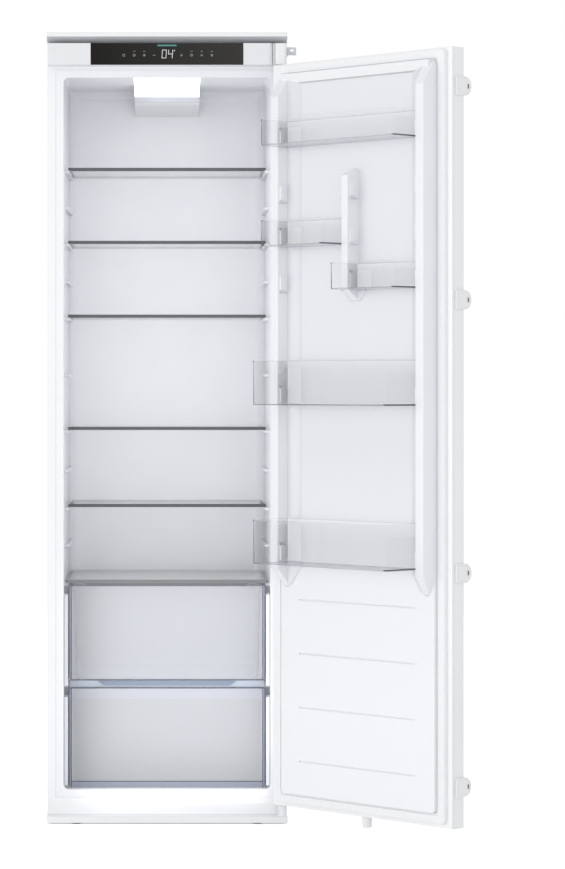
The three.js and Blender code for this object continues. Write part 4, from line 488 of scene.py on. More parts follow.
def material(name):
    """The material of a finish, made when it is first asked for."""
    made = bpy.data.materials.get(name)
    if made:
        return made
    finish = FINISHES[name]
    made = bpy.data.materials.new(name)
    tree = empty_tree(made)
    place = add_node(tree, "ShaderNodeTexCoord").outputs["Object"]
    patterns = {}

    def pattern(marks):
        if marks not in patterns:
            mapped = add_node(tree, "ShaderNodeMapping", {"Vector": place, "Scale": marks.stretch})
            inputs = {"Vector": mapped.outputs["Vector"], "Scale": 1 / (marks.size_mm * MM)}
            if marks.cells:
                patterns[marks] = add_node(tree, "ShaderNodeTexVoronoi", inputs).outputs["Distance"]
            else:
                inputs["Detail"] = marks.detail
                patterns[marks] = add_node(tree, "ShaderNodeTexNoise", inputs).outputs["Fac"]
        return patterns[marks]

    if finish.along:
        axis, start, end = finish.along
        value = add_node(tree, "ShaderNodeSeparateXYZ", {"Vector": place}).outputs[axis]
        reach = {"Value": value, "From Min": start, "From Max": end}
        factor = add_node(tree, "ShaderNodeMapRange", reach).outputs["Result"]
    elif finish.turn_power:
        turned = add_node(tree, "ShaderNodeLayerWeight", {"Blend": 0.5}).outputs["Facing"]
        power = {0: turned, 1: finish.turn_power}
        factor = add_node(tree, "ShaderNodeMath", power, operation="POWER").outputs["Value"]
    else:
        factor = pattern(finish.marks)
    ramp = add_node(tree, "ShaderNodeValToRGB", {"Fac": factor})
    for _ in finish.tones[2:]:
        ramp.color_ramp.elements.new(0.5)
    for element, stop, pair in zip(ramp.color_ramp.elements, finish.stops, finish.tones):
        element.position = stop
        element.color = tone(*pair)

    values = {
        "Base Color": ramp.outputs["Color"],
        "IOR": finish.ior,
        "Specular IOR Level": finish.specular,
        "Metallic": finish.metallic,
        "Emission Strength": finish.glow,
    }
    if finish.glow:
        values["Emission Color"] = ramp.outputs["Color"]
    gloss = finish.gloss_marks or finish.marks
    for socket, reach, marks in (("Alpha", finish.opacity, None), ("Roughness", finish.rough, gloss)):
        values[socket] = reach
        if isinstance(reach, tuple):
            value = pattern(marks) if marks else factor
            inputs = {"Value": value, "To Min": reach[0], "To Max": reach[1]}
            values[socket] = add_node(tree, "ShaderNodeMapRange", inputs).outputs["Result"]
    if finish.relief:
        depth_mm, strength = finish.relief
        height = pattern(finish.relief_marks or gloss)
        inputs = {"Height": height, "Strength": strength, "Distance": depth_mm * MM}
        values["Normal"] = add_node(tree, "ShaderNodeBump", inputs).outputs["Normal"]
    shader = add_node(tree, "ShaderNodeBsdfPrincipled", values)
    add_node(tree, "ShaderNodeOutputMaterial", {"Surface": shader.outputs["BSDF"]})
    return made


# Making pieces


def add_object(mesh, name, *finishes):
    """Turns a finished bmesh into an object in the scene."""
    data = bpy.data.meshes.new(name)
    mesh.to_mesh(data)
    mesh.free()
    for finish in finishes:
        data.materials.append(material(finish))
    made = bpy.data.objects.new(name, data)
    bpy.context.scene.collection.objects.link(made)
    return made


def keep_piece(mesh, name, carrier, slot_name, *finishes):
    """Turns a finished bmesh into a piece that rides with a CAD part."""
    piece = add_object(mesh, name, *finishes)
    body = BODY_OF[carrier]
    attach(piece, body)
    return piece


def bevel(mesh, edges, width):
    """Rounds edges with two segments."""
    return bmesh.ops.bevel(
        mesh,
        geom=edges,
        offset=width,
        affect="EDGES",
        segments=2,
        profile=0.5,
        clamp_overlap=True,
        material=-1,
    )["faces"]


def finish_nodes(finish, *names):
    """Gives CAD parts a finish and leaves their shape as it is."""
    for name in names:
        slots = frame["nodes"][name].data.materials
        slots.clear()
        slots.append(material(finish))


def round_node(name, radius, *finishes, part_of=None, seams=()):
    """A copy of a CAD part, its edges rounded. part_of(face) names a face's finish, and each
    seam, a point and a direction, is a plane along which the faces are divided for that."""
    mesh = bmesh.new()
    mesh.from_mesh(frame["nodes"][name].data)
    bmesh.ops.remove_doubles(mesh, verts=mesh.verts, dist=WELD)
    bmesh.ops.dissolve_limit(mesh, angle_limit=FLAT_ANGLE, verts=mesh.verts, edges=mesh.edges)
    for place, across in seams:
        every = [*mesh.verts, *mesh.edges, *mesh.faces]
        bmesh.ops.bisect_plane(mesh, geom=every, dist=1e-6, plane_co=place, plane_no=across)
    edges = [e for e in mesh.edges if e.is_manifold and e.calc_face_angle() > ROUNDED_ANGLE]
    bevel(mesh, edges, radius)
    for face in mesh.faces:
        face.smooth = True
        if part_of:
            face.material_index = finishes.index(part_of(face))
    piece = keep_piece(mesh, f"{name}_finished", name, SLOT_OF[name], *finishes)
    piece.data.set_sharp_from_angle(angle=CREASE_ANGLE)
    even = piece.modifiers.new("Even shading", "WEIGHTED_NORMAL")
    even.keep_sharp = True
    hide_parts(name)


def round_nodes(finish, radius, *names):
    """Rounds CAD parts that have one finish all over."""
    for name in names:
        round_node(name, radius, finish)


def add_bar(mesh, low, high, edge, turn=None):
    """Adds a bar between two corners to a bmesh, its edges rounded, then turned."""
    low, high = Vector(low), Vector(high)
    made = bmesh.ops.create_cube(mesh, size=1.0)["verts"]
    bmesh.ops.scale(mesh, vec=high - low, verts=made)
    bmesh.ops.translate(mesh, vec=(low + high) / 2, verts=made)
    faces = bevel(mesh, list({e for v in made for e in v.link_edges}), edge)
    made = list({v for f in faces for v in f.verts} | {v for v in made if v.is_valid})
    if turn is not None:
        bmesh.ops.transform(mesh, matrix=turn, verts=made)


def keep_bars(name, carrier, slot_name, finish, bars, edge, turn=None):
    """A piece of one or more rounded bars, each given by its two corners."""
    mesh = bmesh.new()
    for low, high in bars:
        add_bar(mesh, low, high, edge, turn)
    keep_piece(mesh, name, carrier, slot_name, finish)


def add_screw(mesh, place, outwards, diameter):
    """Adds a pan-head screw with a round recess to a bmesh, its head facing outwards."""
    turn = Matrix.Translation(place) @ Vector(outwards).to_track_quat("Z", "Y").to_matrix().to_4x4()
    radius = diameter / 2
    height = diameter * 0.22
    crown = radius * 0.72
    rim = radius * 0.3
    recess = height * 0.35
    made = bmesh.ops.create_cone(
        mesh, cap_ends=True, segments=16, radius1=radius, radius2=crown, depth=height
    )["verts"]
    bmesh.ops.translate(mesh, vec=(0, 0, height / 2), verts=made)
    top = max((f for v in made for f in v.link_faces), key=lambda f: f.calc_center_median().z)
    inset = bmesh.ops.inset_individual(mesh, faces=[top], thickness=rim)
    sunk = list(top.verts)
    bmesh.ops.translate(mesh, vec=(0, 0, -recess), verts=sunk)
    added = list({v for f in inset["faces"] for v in f.verts} | set(made) | set(sunk))
    bmesh.ops.transform(mesh, matrix=turn, verts=added)


def add_ring(mesh, centre, radius, stroke, depth, sides):
    """Adds a flat ring that faces the front to a bmesh."""
    inner, outer = radius - stroke / 2, radius + stroke / 2
    before = set(mesh.verts)
    corners = ((inner, 0), (outer, 0), (outer, -depth), (inner, -depth))
    start = [mesh.verts.new((x, y, 0)) for x, y in corners]
    face = mesh.faces.new(start)
    bmesh.ops.spin(
        mesh,
        geom=[face, *face.edges, *start],
        cent=(0, 0, 0),
        axis=(0, 1, 0),
        angle=math.tau,
        steps=sides,
        use_merge=True,
    )
    made = [v for v in mesh.verts if v not in before]
    bmesh.ops.translate(mesh, vec=centre, verts=made)


def close_up(mesh):
    """Merges doubled points and turns every face outwards."""
    bmesh.ops.remove_doubles(mesh, verts=mesh.verts, dist=0.002 * MM)
    bmesh.ops.recalc_face_normals(mesh, faces=mesh.faces)


def leaf_matrix():
    """The open door's own frame: X as the closed cabinet's, Y inwards from its inner face."""
    hinge = next(j for j in RECORD["behaviour"]["joints"] if j["name"] == "door_hinge")
    pivot = Vector((hinge["pos_m"][0], hinge["pos_m"][1], 0))
    swing = Matrix.Rotation(math.radians(-hinge["range_deg"][0]), 4, "Z")
    closed = Vector((-pivot.x, INNER_FACE, 0))
    return Matrix.Translation(pivot) @ swing @ Matrix.Translation(closed)


def leaf_box(name, closed):
    """The points of a CAD part in the door's own frame, and their lowest and highest corner."""
    places = [closed @ v.co for v in frame["nodes"][name].data.vertices]
    low, high = (Vector([pick(p[i] for p in places) for i in range(3)]) for pick in (min, max))
    return places, low, high


# Operators: one for each group of like pieces


class REFRIGERATOR_OT_cabinet(bpy.types.Operator):
    """Finish the steel cabinet, its back, its base and its fixing tab"""

    bl_idname = "refrigerator.cabinet"
    bl_label = "Cabinet"

    def execute(self, context):
        sizes = context.scene.refrigerator_sizes
        thin = sizes.sheet_edge * THIN
        round_nodes("powder_coated_steel", sizes.sheet_edge, "outer_shell", "base_plate")
        round_nodes("moulded_abs", sizes.moulded_edge, "base_front_rail")
        round_nodes("galvanised_steel", thin, "niche_fixing_tab")
        finish_nodes("galvanised_steel", "back_panel")
        finish_nodes("cured_foam", "insulation_foam")
        round_nodes("glass_filled_nylon", thin, "front_foot_left", "front_foot_right", "rear_runner")
        return {"FINISHED"}


class REFRIGERATOR_OT_liner(bpy.types.Operator):
    """Finish the formed inner liner, the evaporator behind it and its drain"""

    bl_idname = "refrigerator.liner"
    bl_label = "Inner liner"

    def execute(self, context):
        sizes = context.scene.refrigerator_sizes
        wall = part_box("shelf_frame_1")[1].x - 20 * MM
        rib_root, rib_top = 232 * MM, 1600 * MM
        front, back = -235 * MM, 150 * MM

        # Rib faces take the painted shade
        def part_of(face):
            middle = face.calc_center_median()
            on_rib = wall < abs(middle.x) < rib_root and abs(face.normal.x) < 0.9
            if on_rib and front < middle.y < back and middle.z < rib_top:
                return "ribbed_polystyrene"
            return "formed_polystyrene"

        finishes = ("formed_polystyrene", "ribbed_polystyrene")
        round_node("inner_liner", sizes.moulded_edge, *finishes, part_of=part_of)
        finish_nodes("rolled_aluminium", "evaporator_plate")
        finish_nodes("moulded_abs", "drain_tube")
        return {"FINISHED"}


class REFRIGERATOR_OT_control_panel(bpy.types.Operator):
    """Finish the top flange, the fascia and the control glass"""

    bl_idname = "refrigerator.control_panel"
    bl_label = "Control panel"

    def execute(self, context):
        sizes = context.scene.refrigerator_sizes

        # Faces that look down take the painted shade of the flange's underside
        def part_of(face):
            return "shaded_abs" if face.normal.z < -0.5 else "moulded_abs"

        round_node("top_flange", sizes.sheet_edge, "moulded_abs", "shaded_abs", part_of=part_of)
        round_nodes("fascia_abs", sizes.moulded_edge, "control_fascia")
        round_nodes("printed_glass", sizes.moulded_edge * THIN, "control_glass")
        finish_nodes("circuit_laminate", "control_board")
        fascia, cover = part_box("control_fascia"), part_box("upper_hinge_cover")
        reveal = 0.3 * MM
        setback = 1.2 * MM
        low = (fascia[1].x + reveal, fascia[0].y + setback, cover[0].z + reveal)
        high = (cover[0].x - reveal, fascia[1].y - reveal * 2, cover[1].z - reveal)
        names = ("fascia_joint_strip", "control_fascia", "white_plastic", "fascia_abs")
        keep_bars(*names, [(low, high)], edge=0.4 * MM)
        return {"FINISHED"}


# A seven-stroke digit: (across, up) shares of its width and height for both ends of each stroke
STROKES = {
    "top": ((0, 1), (1, 1)),
    "upper_right": ((1, 1), (1, 0.5)),
    "lower_right": ((1, 0.5), (1, 0)),
    "bottom": ((0, 0), (1, 0)),
    "lower_left": ((0, 0), (0, 0.5)),
    "upper_left": ((0, 0.5), (0, 1)),
    "middle": ((0, 0.5), (1, 0.5)),
}
DIGIT_STROKES = {
    "0": ("top", "upper_right", "lower_right", "bottom", "lower_left", "upper_left"),
    "4": ("upper_left", "middle", "upper_right", "lower_right"),
}
# The strokes of a plain sign: how far up and how long, as shares of its size, and their angle
SIGN_STROKES = {
    "ring": (),
    "bar": ((0, 1, 0),),
    "plus": ((0, 1, 0), (0, 1, 90)),
    "star": ((0, 1, 0), (0, 1, 60), (0, 1, 120)),
    "rows": ((-0.3, 0.8, 0), (0, 0.8, 0), (0.3, 0.8, 0)),
}
LAMP = (1.45, 0.8, 0)
# The signs' places in millimetres from the middle, and whether a small lamp stands above
SIGNS = (
    (-97.0, "ring", False),
    (-73.5, "ring", True),
    (-51.0, "star", True),
    (-29.0, "bar", False),
    (32.5, "plus", False),
    (55.0, "ring", True),
    (78.0, "plus", True),
    (100.5, "rows", True),
)


def add_digits(mesh, sizes, face, base):
    """The two digits of the set temperature, a little slanted, and their degree ring."""
    height = sizes.digit_height
    width = height * 0.5
    half = sizes.digit_stroke / 2
    depth = sizes.print_height
    spread = width * 1.25
    slant = Matrix.Identity(4)
    slant[0][2] = 0.08
    turn = Matrix.Translation((0, face, base)) @ slant
    thick = Vector((half, depth, half))
    for place, digit in ((-0.62, "0"), (0.62, "4")):
        left = place * spread - width / 2
        for name in DIGIT_STROKES[digit]:
            start, end = (Vector((left + x * width, 0, z * height)) for x, z in STROKES[name])
            low, high = Vector(map(min, start, end)), Vector(map(max, start, end))
            add_bar(mesh, low - thick, high + thick, depth, turn)
    degree = Vector((width * 1.85, face + depth, base + height * 0.93))
    add_ring(mesh, degree, sizes.digit_stroke, sizes.digit_stroke * 0.6, depth * 2, sides=12)


def add_signs(mesh, sizes, face, middle):
    """A row of plain signs, most with a small lamp above."""
    size = sizes.sign_size
    stroke = size * 0.16
    depth = sizes.print_height
    for across, kind, has_lamp in SIGNS:
        x = across * MM
        if kind == "ring":
            centre = Vector((x, face + depth, middle))
            add_ring(mesh, centre, size * 0.4, stroke, depth * 2, sides=16)
        for up, share, angle in (*([LAMP] if has_lamp else []), *SIGN_STROKES[kind]):
            place = Matrix.Translation((x, face, middle + size * up))
            half = size * share / 2
            low, high = (-half, -depth, -stroke / 2), (half, depth, stroke / 2)
            add_bar(mesh, low, high, depth, place @ Matrix.Rotation(math.radians(angle), 4, "Y"))


class REFRIGERATOR_OT_display(bpy.types.Operator):
    """Add the lit digits, the light bar and the plain signs on the control glass"""

    bl_idname = "refrigerator.display"
    bl_label = "Display"

    def execute(self, context):
        sizes = context.scene.refrigerator_sizes
        low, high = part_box("control_glass")
        face = low.y
        depth = sizes.print_height
        height = high.z - low.z
        digits_foot, signs_middle = low.z + height * 0.31, low.z + height * 0.44
        digits = bmesh.new()
        add_digits(digits, sizes, face, digits_foot)
        close_up(digits)
        keep_piece(digits, "display_digits", "control_glass", "lens_plastic", "lit_digits")
        half = 21.5 * MM
        top = high.z - height * 0.075
        foot = top - height * 0.07
        bar = ((-half, face - depth, foot), (half, face + depth, top))
        names = ("display_light_bar", "control_glass", "lens_plastic", "lit_bar")
        keep_bars(*names, [bar], edge=depth)
        signs = bmesh.new()
        add_signs(signs, sizes, face, signs_middle)
        close_up(signs)
        keep_piece(signs, "display_signs", "control_glass", "lens_plastic", "lit_signs")
        return {"FINISHED"}


class REFRIGERATOR_OT_fan_and_light(bpy.types.Operator):
    """Finish the light's lens, the fan housing and the fan inside it"""

    bl_idname = "refrigerator.fan_and_light"
    bl_label = "Fan and light"

    def execute(self, context):
        sizes = context.scene.refrigerator_sizes
        round_nodes("lit_diffuser", sizes.moulded_edge, "light_lens")
        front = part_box("fan_housing")[0].y

        # The housing's front faces take the band's painted shade
        def part_of(face):
            in_front = face.normal.y < -0.7 and face.calc_center_median().y < front + 2 * MM
            return "fan_band_abs" if in_front else "moulded_abs"

        finishes = ("moulded_abs", "fan_band_abs")
        round_node("fan_housing", sizes.moulded_edge, *finishes, part_of=part_of)
        low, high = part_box("light_lens")
        half = high.x + 1.5 * MM
        seam_front = -142 * MM
        seam_back = seam_front + 1.5 * MM
        under = high.z - sizes.lens_thickness
        seam = ((-half, seam_front, under - 1.2 * MM), (half, seam_back, under))
        names = ("light_lens_seam", "light_lens", "white_plastic", "fan_band_abs")
        keep_bars(*names, [seam], edge=0.2 * MM)
        finish_nodes("black_enamel", "fan_motor")
        finish_nodes("moulded_abs", "fan_rotor")
        finish_nodes("circuit_laminate", "light_board")
        return {"FINISHED"}


def finish_shelf(context, frame_name, pane_name, trim, glass):
    """The trim takes the faces of the front rail, and the other rails are clear plastic."""
    trim_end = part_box(frame_name)[0].y + 11.5 * MM

    def part_of(face):
        return trim if face.calc_center_median().y < trim_end else "clear_frame_styrene"

    radius = context.scene.refrigerator_sizes.moulded_edge
    round_node(frame_name, radius, trim, "clear_frame_styrene", part_of=part_of)
    finish_nodes(glass, pane_name)


class REFRIGERATOR_OT_shelves(bpy.types.Operator):
    """Finish the glass shelves and the crisper cover, with a grey trim along each front"""

    bl_idname = "refrigerator.shelves"
    bl_label = "Shelves"

    def execute(self, context):
        for number in range(1, 6):
            names = (f"shelf_frame_{number}", f"shelf_pane_{number}")
            finish_shelf(context, *names, "satin_aluminium_trim", "toughened_glass")
        names = ("crisper_cover_frame", "crisper_cover_pane")
        finish_shelf(context, *names, "pale_aluminium_trim", "cover_glass")
        return {"FINISHED"}


def finish_drawer(name, sizes):
    """The front panel has a dark edge, a pale core and an inner dark line at both sides, bands of painted
    shade. The upper drawer ends in a dark line at its foot, the lower one in a pale band under a line,
    painted shade too."""
    low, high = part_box(name)
    line, edge, core = sizes.edge_line, sizes.panel_edge, sizes.panel_core
    panel_front = low.y + 0.5 * MM
    panel_back = low.y + 3.3 * MM
    floor_top = low.z + 8 * MM
    panel = [v.co.x for v in frame["nodes"][name].data.vertices if v.co.y < panel_front]
    half = max(panel) + 1 * MM
    is_lower = name == "drawer_lower"
    foot = sizes.panel_foot if is_lower else 0.0
    head = sizes.panel_head if is_lower else line
    broad = "styrene_lower_panel" if is_lower else "styrene_panel"
    seams = [((0, 0, high.z - z), (0, 0, 1)) for z in (line, head)]
    seams += [((0, 0, low.z + z), (0, 0, 1)) for z in (foot, foot + line) if z]
    for inwards in (edge, edge + core, edge + core + line):
        seams += [((side * (half - inwards), 0, 0), (1, 0, 0)) for side in (1, -1)]

    def part_of(face):
        middle = face.calc_center_median()
        if middle.y > panel_back:
            on_floor = abs(face.normal.z) > 0.7 and middle.z < floor_top
            return "styrene_base" if on_floor else "thin_clear_styrene"
        side = half - abs(middle.x)
        rise = middle.z - low.z
        drop = high.z - middle.z
        if side < edge or drop < line:
            return "styrene_edge"
        if side < edge + core:
            return "styrene_core"
        if side < edge + core + line:
            return "styrene_edge"
        if rise < foot:
            return "styrene_core"
        if rise < foot + line:
            return "styrene_edge"
        return "styrene_head" if drop < head else broad

    walls = ("thin_clear_styrene", "styrene_base")
    panels = ("styrene_edge", "styrene_core", broad, "styrene_head")
    round_node(name, sizes.clear_edge, *walls, *panels, part_of=part_of, seams=seams)


def add_grip():
    """The ledge along the lower drawer's top, and the sloped grip in front of it, its dark blue-grey
    painted shade.
    """
    upper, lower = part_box("drawer_upper"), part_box("drawer_lower")
    front = lower[0].y
    base = lower[1].z + 0.6 * MM
    top = upper[0].z - 1.6 * MM
    half = 221 * MM
    ledge = ((-half, front + 8 * MM, base), (half, front + 11 * MM, top))
    names = ("drawer_grip_ledge", "drawer_lower", "clear_plastic", "styrene_ledge")
    keep_bars(*names, [ledge], edge=0.6 * MM)
    grip = bmesh.new()
    grip_front, grip_depth = front + 4 * MM, 3.4 * MM
    upper_half, lower_half = 157 * MM, 143 * MM
    above, below = base + 13.2 * MM, base + 4.6 * MM
    corners = (
        (-upper_half, above),
        (upper_half, above),
        (lower_half, below),
        (-lower_half, below),
    )
    face = grip.faces.new([grip.verts.new((x, grip_front, z)) for x, z in corners])
    back = bmesh.ops.extrude_face_region(grip, geom=[face])["geom"]
    moved = [v for v in back if isinstance(v, bmesh.types.BMVert)]
    bmesh.ops.translate(grip, vec=(0, grip_depth, 0), verts=moved)
    close_up(grip)
    keep_piece(grip, "drawer_grip", "drawer_lower", "clear_plastic", "styrene_grip")


def add_side_strips():
    """White strips on the inner liner, greyed by painted shade, that close the slots beside the drawers'
    fronts. They stop below the drawers' rims, which are wider and have to pass."""
    upper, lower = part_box("drawer_upper"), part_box("drawer_lower")
    inside, outside = 224.2 * MM, 232.8 * MM
    front = lower[0].y - 15 * MM
    back = front + 12 * MM
    rim = 20 * MM
    beside_lower = (lower[0].z + 6 * MM, lower[1].z - rim)
    beside_upper = (lower[1].z + 4 * MM, upper[1].z - rim)
    strips = [
        ((x0, front, low), (x1, back, high))
        for low, high in (beside_lower, beside_upper)
        for x0, x1 in ((-outside, -inside), (inside, outside))
    ]
    names = ("drawer_side_strips", "inner_liner", "liner_plastic", "strip_polystyrene")
    keep_bars(*names, strips, edge=2 * MM)


class REFRIGERATOR_OT_drawers(bpy.types.Operator):
    """Finish the two clear drawers, and add their grip and the strips beside them"""

    bl_idname = "refrigerator.drawers"
    bl_label = "Drawers"

    def execute(self, context):
        for name in ("drawer_upper", "drawer_lower"):
            finish_drawer(name, context.scene.refrigerator_sizes)
        add_grip()
        add_side_strips()
        return {"FINISHED"}


def finish_liner(sizes):
    """The flat panel, the slopes at its sides, its flange and the rail's underside differ a little in
    tone: painted shade darkens the panel, the slopes and the rail's underside, and painted light whitens
    the flange and the rail's face."""
    leaf = leaf_matrix()
    closed = leaf.inverted()
    turn = closed.to_3x3()
    rail_foot = 1640 * MM
    rail_root, rail_line, rail_front = 13 * MM, 17 * MM, 30 * MM
    flange_top, slope_top = 1 * MM, 22.8 * MM
    panel_low, panel_high = 6 * MM, 15 * MM
    seams = [(leaf @ Vector((0, rail_line, 0)), leaf.to_3x3() @ Vector((0, 1, 0)))]

    def part_of(face):
        middle = closed @ face.calc_center_median()
        inwards = turn @ face.normal
        under_rail = inwards.z < -0.25 and middle.z > rail_foot
        # The flange takes the painted light
        if middle.y < flange_top:
            return "flange_polystyrene"
        # The rail's underside takes the painted shade
        if under_rail and rail_root < middle.y < rail_line:
            return "rail_polystyrene"
        # The rail's face takes the painted light
        if under_rail and middle.y < rail_front:
            return "flange_polystyrene"
        # The flat panel takes the painted shade
        if inwards.y > 0.9 and panel_low < middle.y < panel_high:
            return "drawn_polystyrene"
        # The slopes take the painted shade
        if inwards.y > 0.5 and middle.y < slope_top:
            return "sloped_polystyrene"
        return "formed_polystyrene"

    finishes = [f"{kind}_polystyrene" for kind in ("formed", "drawn", "sloped", "flange", "rail")]
    round_node("door_liner", sizes.moulded_edge, *finishes, part_of=part_of, seams=seams)


def add_lug_feet():
    """The ledge at the foot of each spare lug, on the side walls and on the middle column, darkened as
    painted shade.
    """
    on_wall, on_column = (198, 202.5), (12, 17)
    front, back, thickness = 23 * MM, 46 * MM, 1.6 * MM
    bars = []
    for side, share in ((1, 0.8118), (1, 0.6917), (-1, 0.8118), (-1, 0.7517)):
        top = DOOR_FOOT + (DOOR_HEAD - DOOR_FOOT) * share
        for near, far in (on_wall, on_column):
            x0, x1 = sorted((side * near * MM, side * far * MM))
            bars.append(((x0, front, top - thickness), (x1, back, top)))
    names = ("spare_lug_feet", "door_liner", "liner_plastic", "rail_polystyrene")
    keep_bars(*names, bars, edge=0.3 * MM, turn=leaf_matrix())


def add_bracket_slots():
    """A dark insert in each slide bracket's round end, painted shade for its slot."""
    leaf = leaf_matrix()
    proud, sunk = 0.15 * MM, 0.8 * MM
    half_width, half_height = 1.5 * MM, 4.5 * MM
    bars = []
    for number in range(1, 5):
        _, low, high = leaf_box(f"slide_bracket_{number}", leaf.inverted())
        y = low.y + 9.4 * MM
        z = (low.z + high.z) / 2
        near = (low.x - proud, y - half_width, z - half_height)
        far = (low.x + sunk, y + half_width, z + half_height)
        bars.append((near, far))
    names = ("slide_bracket_slots", "slide_bracket_1", "dark_plastic", "bracket_slot")
    keep_bars(*names, bars, edge=0.3 * MM, turn=leaf)


class REFRIGERATOR_OT_door(bpy.types.Operator):
    """Finish the door's outer panel, its liner, its seal and its small fittings"""

    bl_idname = "refrigerator.door"
    bl_label = "Door"

    def execute(self, context):
        sizes = context.scene.refrigerator_sizes
        round_nodes("powder_coated_steel", sizes.sheet_edge, "door_outer_panel")
        finish_liner(sizes)
        add_lug_feet()
        add_bracket_slots()
        round_nodes("gasket_elastomer", sizes.moulded_edge, "door_gasket")
        finish_nodes("cured_foam", "door_foam")
        fittings = ("door_lower_bush", "door_upper_bush", "door_bottom_peg")
        brackets = [f"slide_bracket_{number}" for number in range(1, 5)]
        round_nodes("moulded_abs", sizes.moulded_edge * SMALL, *fittings, *brackets)
        return {"FINISHED"}


def finish_bin(name, sizes):
    """Clear walls with a pale floor, a milky back that is painted light, with a catch at the hinge end,
    and dark lines of painted shade along the foot, up the outer back corner and up the inner front corner."""
    leaf = leaf_matrix()
    closed = leaf.inverted()
    turn = leaf.to_3x3()
    places, low, high = leaf_box(name, closed)
    line = sizes.edge_line
    wall = 3 * MM
    free_end, hinge_end = low.x + wall, high.x - wall
    back_wall, back_line = low.y + wall, low.y + line * 1.4
    foot, end_foot = low.z + line * 0.7, low.z + line * 1.5
    floor_top = low.z + 4 * MM
    stripe_top = low.z + (high.z - low.z) * 0.72
    rim = high.z - 1.5 * MM
    above_rim = high.z - 1.4 * MM
    catch_low, catch_high = low.z + 4 * MM, high.z - 14 * MM
    catch_side = hinge_end - sizes.catch_width
    catch_front = low.y + sizes.catch_depth

    # The inner front corner leans, so its line is cut by a plane that leans with it
    heading = math.radians(43.5)
    corner = Vector((math.sin(heading), math.cos(heading), 0))
    at_rim = max(p @ corner for p in places if p.z > high.z - 2 * MM)
    at_base = max(p @ corner for p in places if p.z < low.z + 8 * MM)
    corner.z = (at_base - at_rim) / (high.z - low.z)
    corner.normalize()
    nearest = max(p @ corner for p in places) - line

    levels = (foot, end_foot, stripe_top, catch_low, catch_high, rim)
    seams = [(leaf @ Vector((0, 0, z)), (0, 0, 1)) for z in levels]
    seams += [
        (leaf @ Vector((0, back_line, 0)), turn @ Vector((0, 1, 0))),
        (leaf @ Vector((0, catch_front, 0)), turn @ Vector((0, 1, 0))),
        (leaf @ Vector((catch_side, 0, 0)), turn @ Vector((1, 0, 0))),
        (leaf @ (corner * nearest), turn @ corner),
    ]

    def part_of(face):
        middle = closed @ face.calc_center_median()
        if abs(face.normal.z) > 0.7 and middle.z < floor_top:
            return "styrene_base"
        at_free_end = middle.x < free_end + 20 * MM
        if middle.z < (end_foot if at_free_end else foot):
            return "styrene_foot" if at_free_end else "styrene_edge"
        if middle @ corner > nearest:
            return "styrene_edge"
        if free_end < middle.x < free_end + wall:
            if middle.z >= stripe_top:
                return "clear_styrene"
            return "styrene_edge" if middle.y < back_line else "fine_frosted_styrene"
        if middle.z > above_rim:
            return "frosted_styrene"
        beside = not catch_low < middle.z < catch_high
        into_room = (turn.transposed() @ face.normal).y > 0.8
        # The back wall's inner face takes the painted light
        if middle.y < back_wall and into_room:
            return "milky_styrene" if beside or middle.x < catch_side else "catch_styrene"
        on_back = middle.y < back_wall and catch_side < middle.x < hinge_end
        on_end = hinge_end - wall < middle.x < hinge_end and middle.y < catch_front
        return "frosted_styrene" if not beside and (on_back or on_end) else "clear_styrene"

    finishes = (
        "clear_styrene",
        "styrene_base",
        "styrene_edge",
        "frosted_styrene",
        "fine_frosted_styrene",
        "styrene_foot",
        "milky_styrene",
        "catch_styrene",
    )
    round_node(name, sizes.clear_edge, *finishes, part_of=part_of, seams=seams)


class REFRIGERATOR_OT_bins(bpy.types.Operator):
    """Finish the clear door bins, with the catch that each hangs by"""

    bl_idname = "refrigerator.bins"
    bl_label = "Door bins"

    def execute(self, context):
        for number in range(1, 6):
            finish_bin(f"door_bin_{number}", context.scene.refrigerator_sizes)
        return {"FINISHED"}


class REFRIGERATOR_OT_hinges(bpy.types.Operator):
    """Finish the hinge brackets and their cover"""

    bl_idname = "refrigerator.hinges"
    bl_label = "Hinges"

    def execute(self, context):
        sizes = context.scene.refrigerator_sizes
        round_nodes("galvanised_steel", sizes.sheet_edge * THIN, "upper_hinge_bracket")
        round_nodes("powder_coated_steel", sizes.sheet_edge * THIN, "lower_hinge_bracket")
        round_nodes("moulded_abs", sizes.moulded_edge, "upper_hinge_cover")
        return {"FINISHED"}


class REFRIGERATOR_OT_machine_compartment(bpy.types.Operator):
    """Finish the compressor, what carries it, its drip tray, its box and the condenser"""

    bl_idname = "refrigerator.machine_compartment"
    bl_label = "Machine compartment"

    def execute(self, context):
        sizes = context.scene.refrigerator_sizes
        finish_nodes("black_enamel", "compressor", "condenser_tube", "condenser_grid")
        round_nodes("galvanised_steel", sizes.sheet_edge * THIN, "compressor_carrier")
        round_nodes("glass_filled_nylon", sizes.moulded_edge, "drip_tray", "terminal_box")
        return {"FINISHED"}


class REFRIGERATOR_OT_screws(bpy.types.Operator):
    """Add the screws of the back panel"""

    bl_idname = "refrigerator.screws"
    bl_label = "Screws"

    def execute(self, context):
        low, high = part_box("back_panel")
        rear = high.y - 2.2 * MM
        inset = 9 * MM
        mesh = bmesh.new()
        for side in (low.x + inset, high.x - inset):
            for share in (0.04, 0.27, 0.5, 0.73, 0.96):
                place = (side, rear, low.z + (high.z - low.z) * share)
                add_screw(mesh, place, (0, 1, 0), context.scene.refrigerator_sizes.screw_head)
        keep_piece(mesh, "back_panel_screws", "back_panel", "zinc_steel", "galvanised_steel")
        return {"FINISHED"}


def add_camera(scene):
    """A level camera in front of the cabinet, at about half its height."""
    data = bpy.data.cameras.new("photo_camera")
    data.sensor_width = 36
    data.lens = 124.6
    data.shift_x = 0.1329
    data.shift_y = -0.0547
    data.clip_end = 100
    camera = bpy.data.objects.new("photo_camera", data)
    distance, eye_height = 6.785, 0.977
    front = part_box("outer_shell")[0].y
    camera.location = (0, front - distance, eye_height)
    camera.rotation_euler = (math.pi / 2, 0, 0)
    scene.collection.objects.link(camera)
    scene.camera = camera


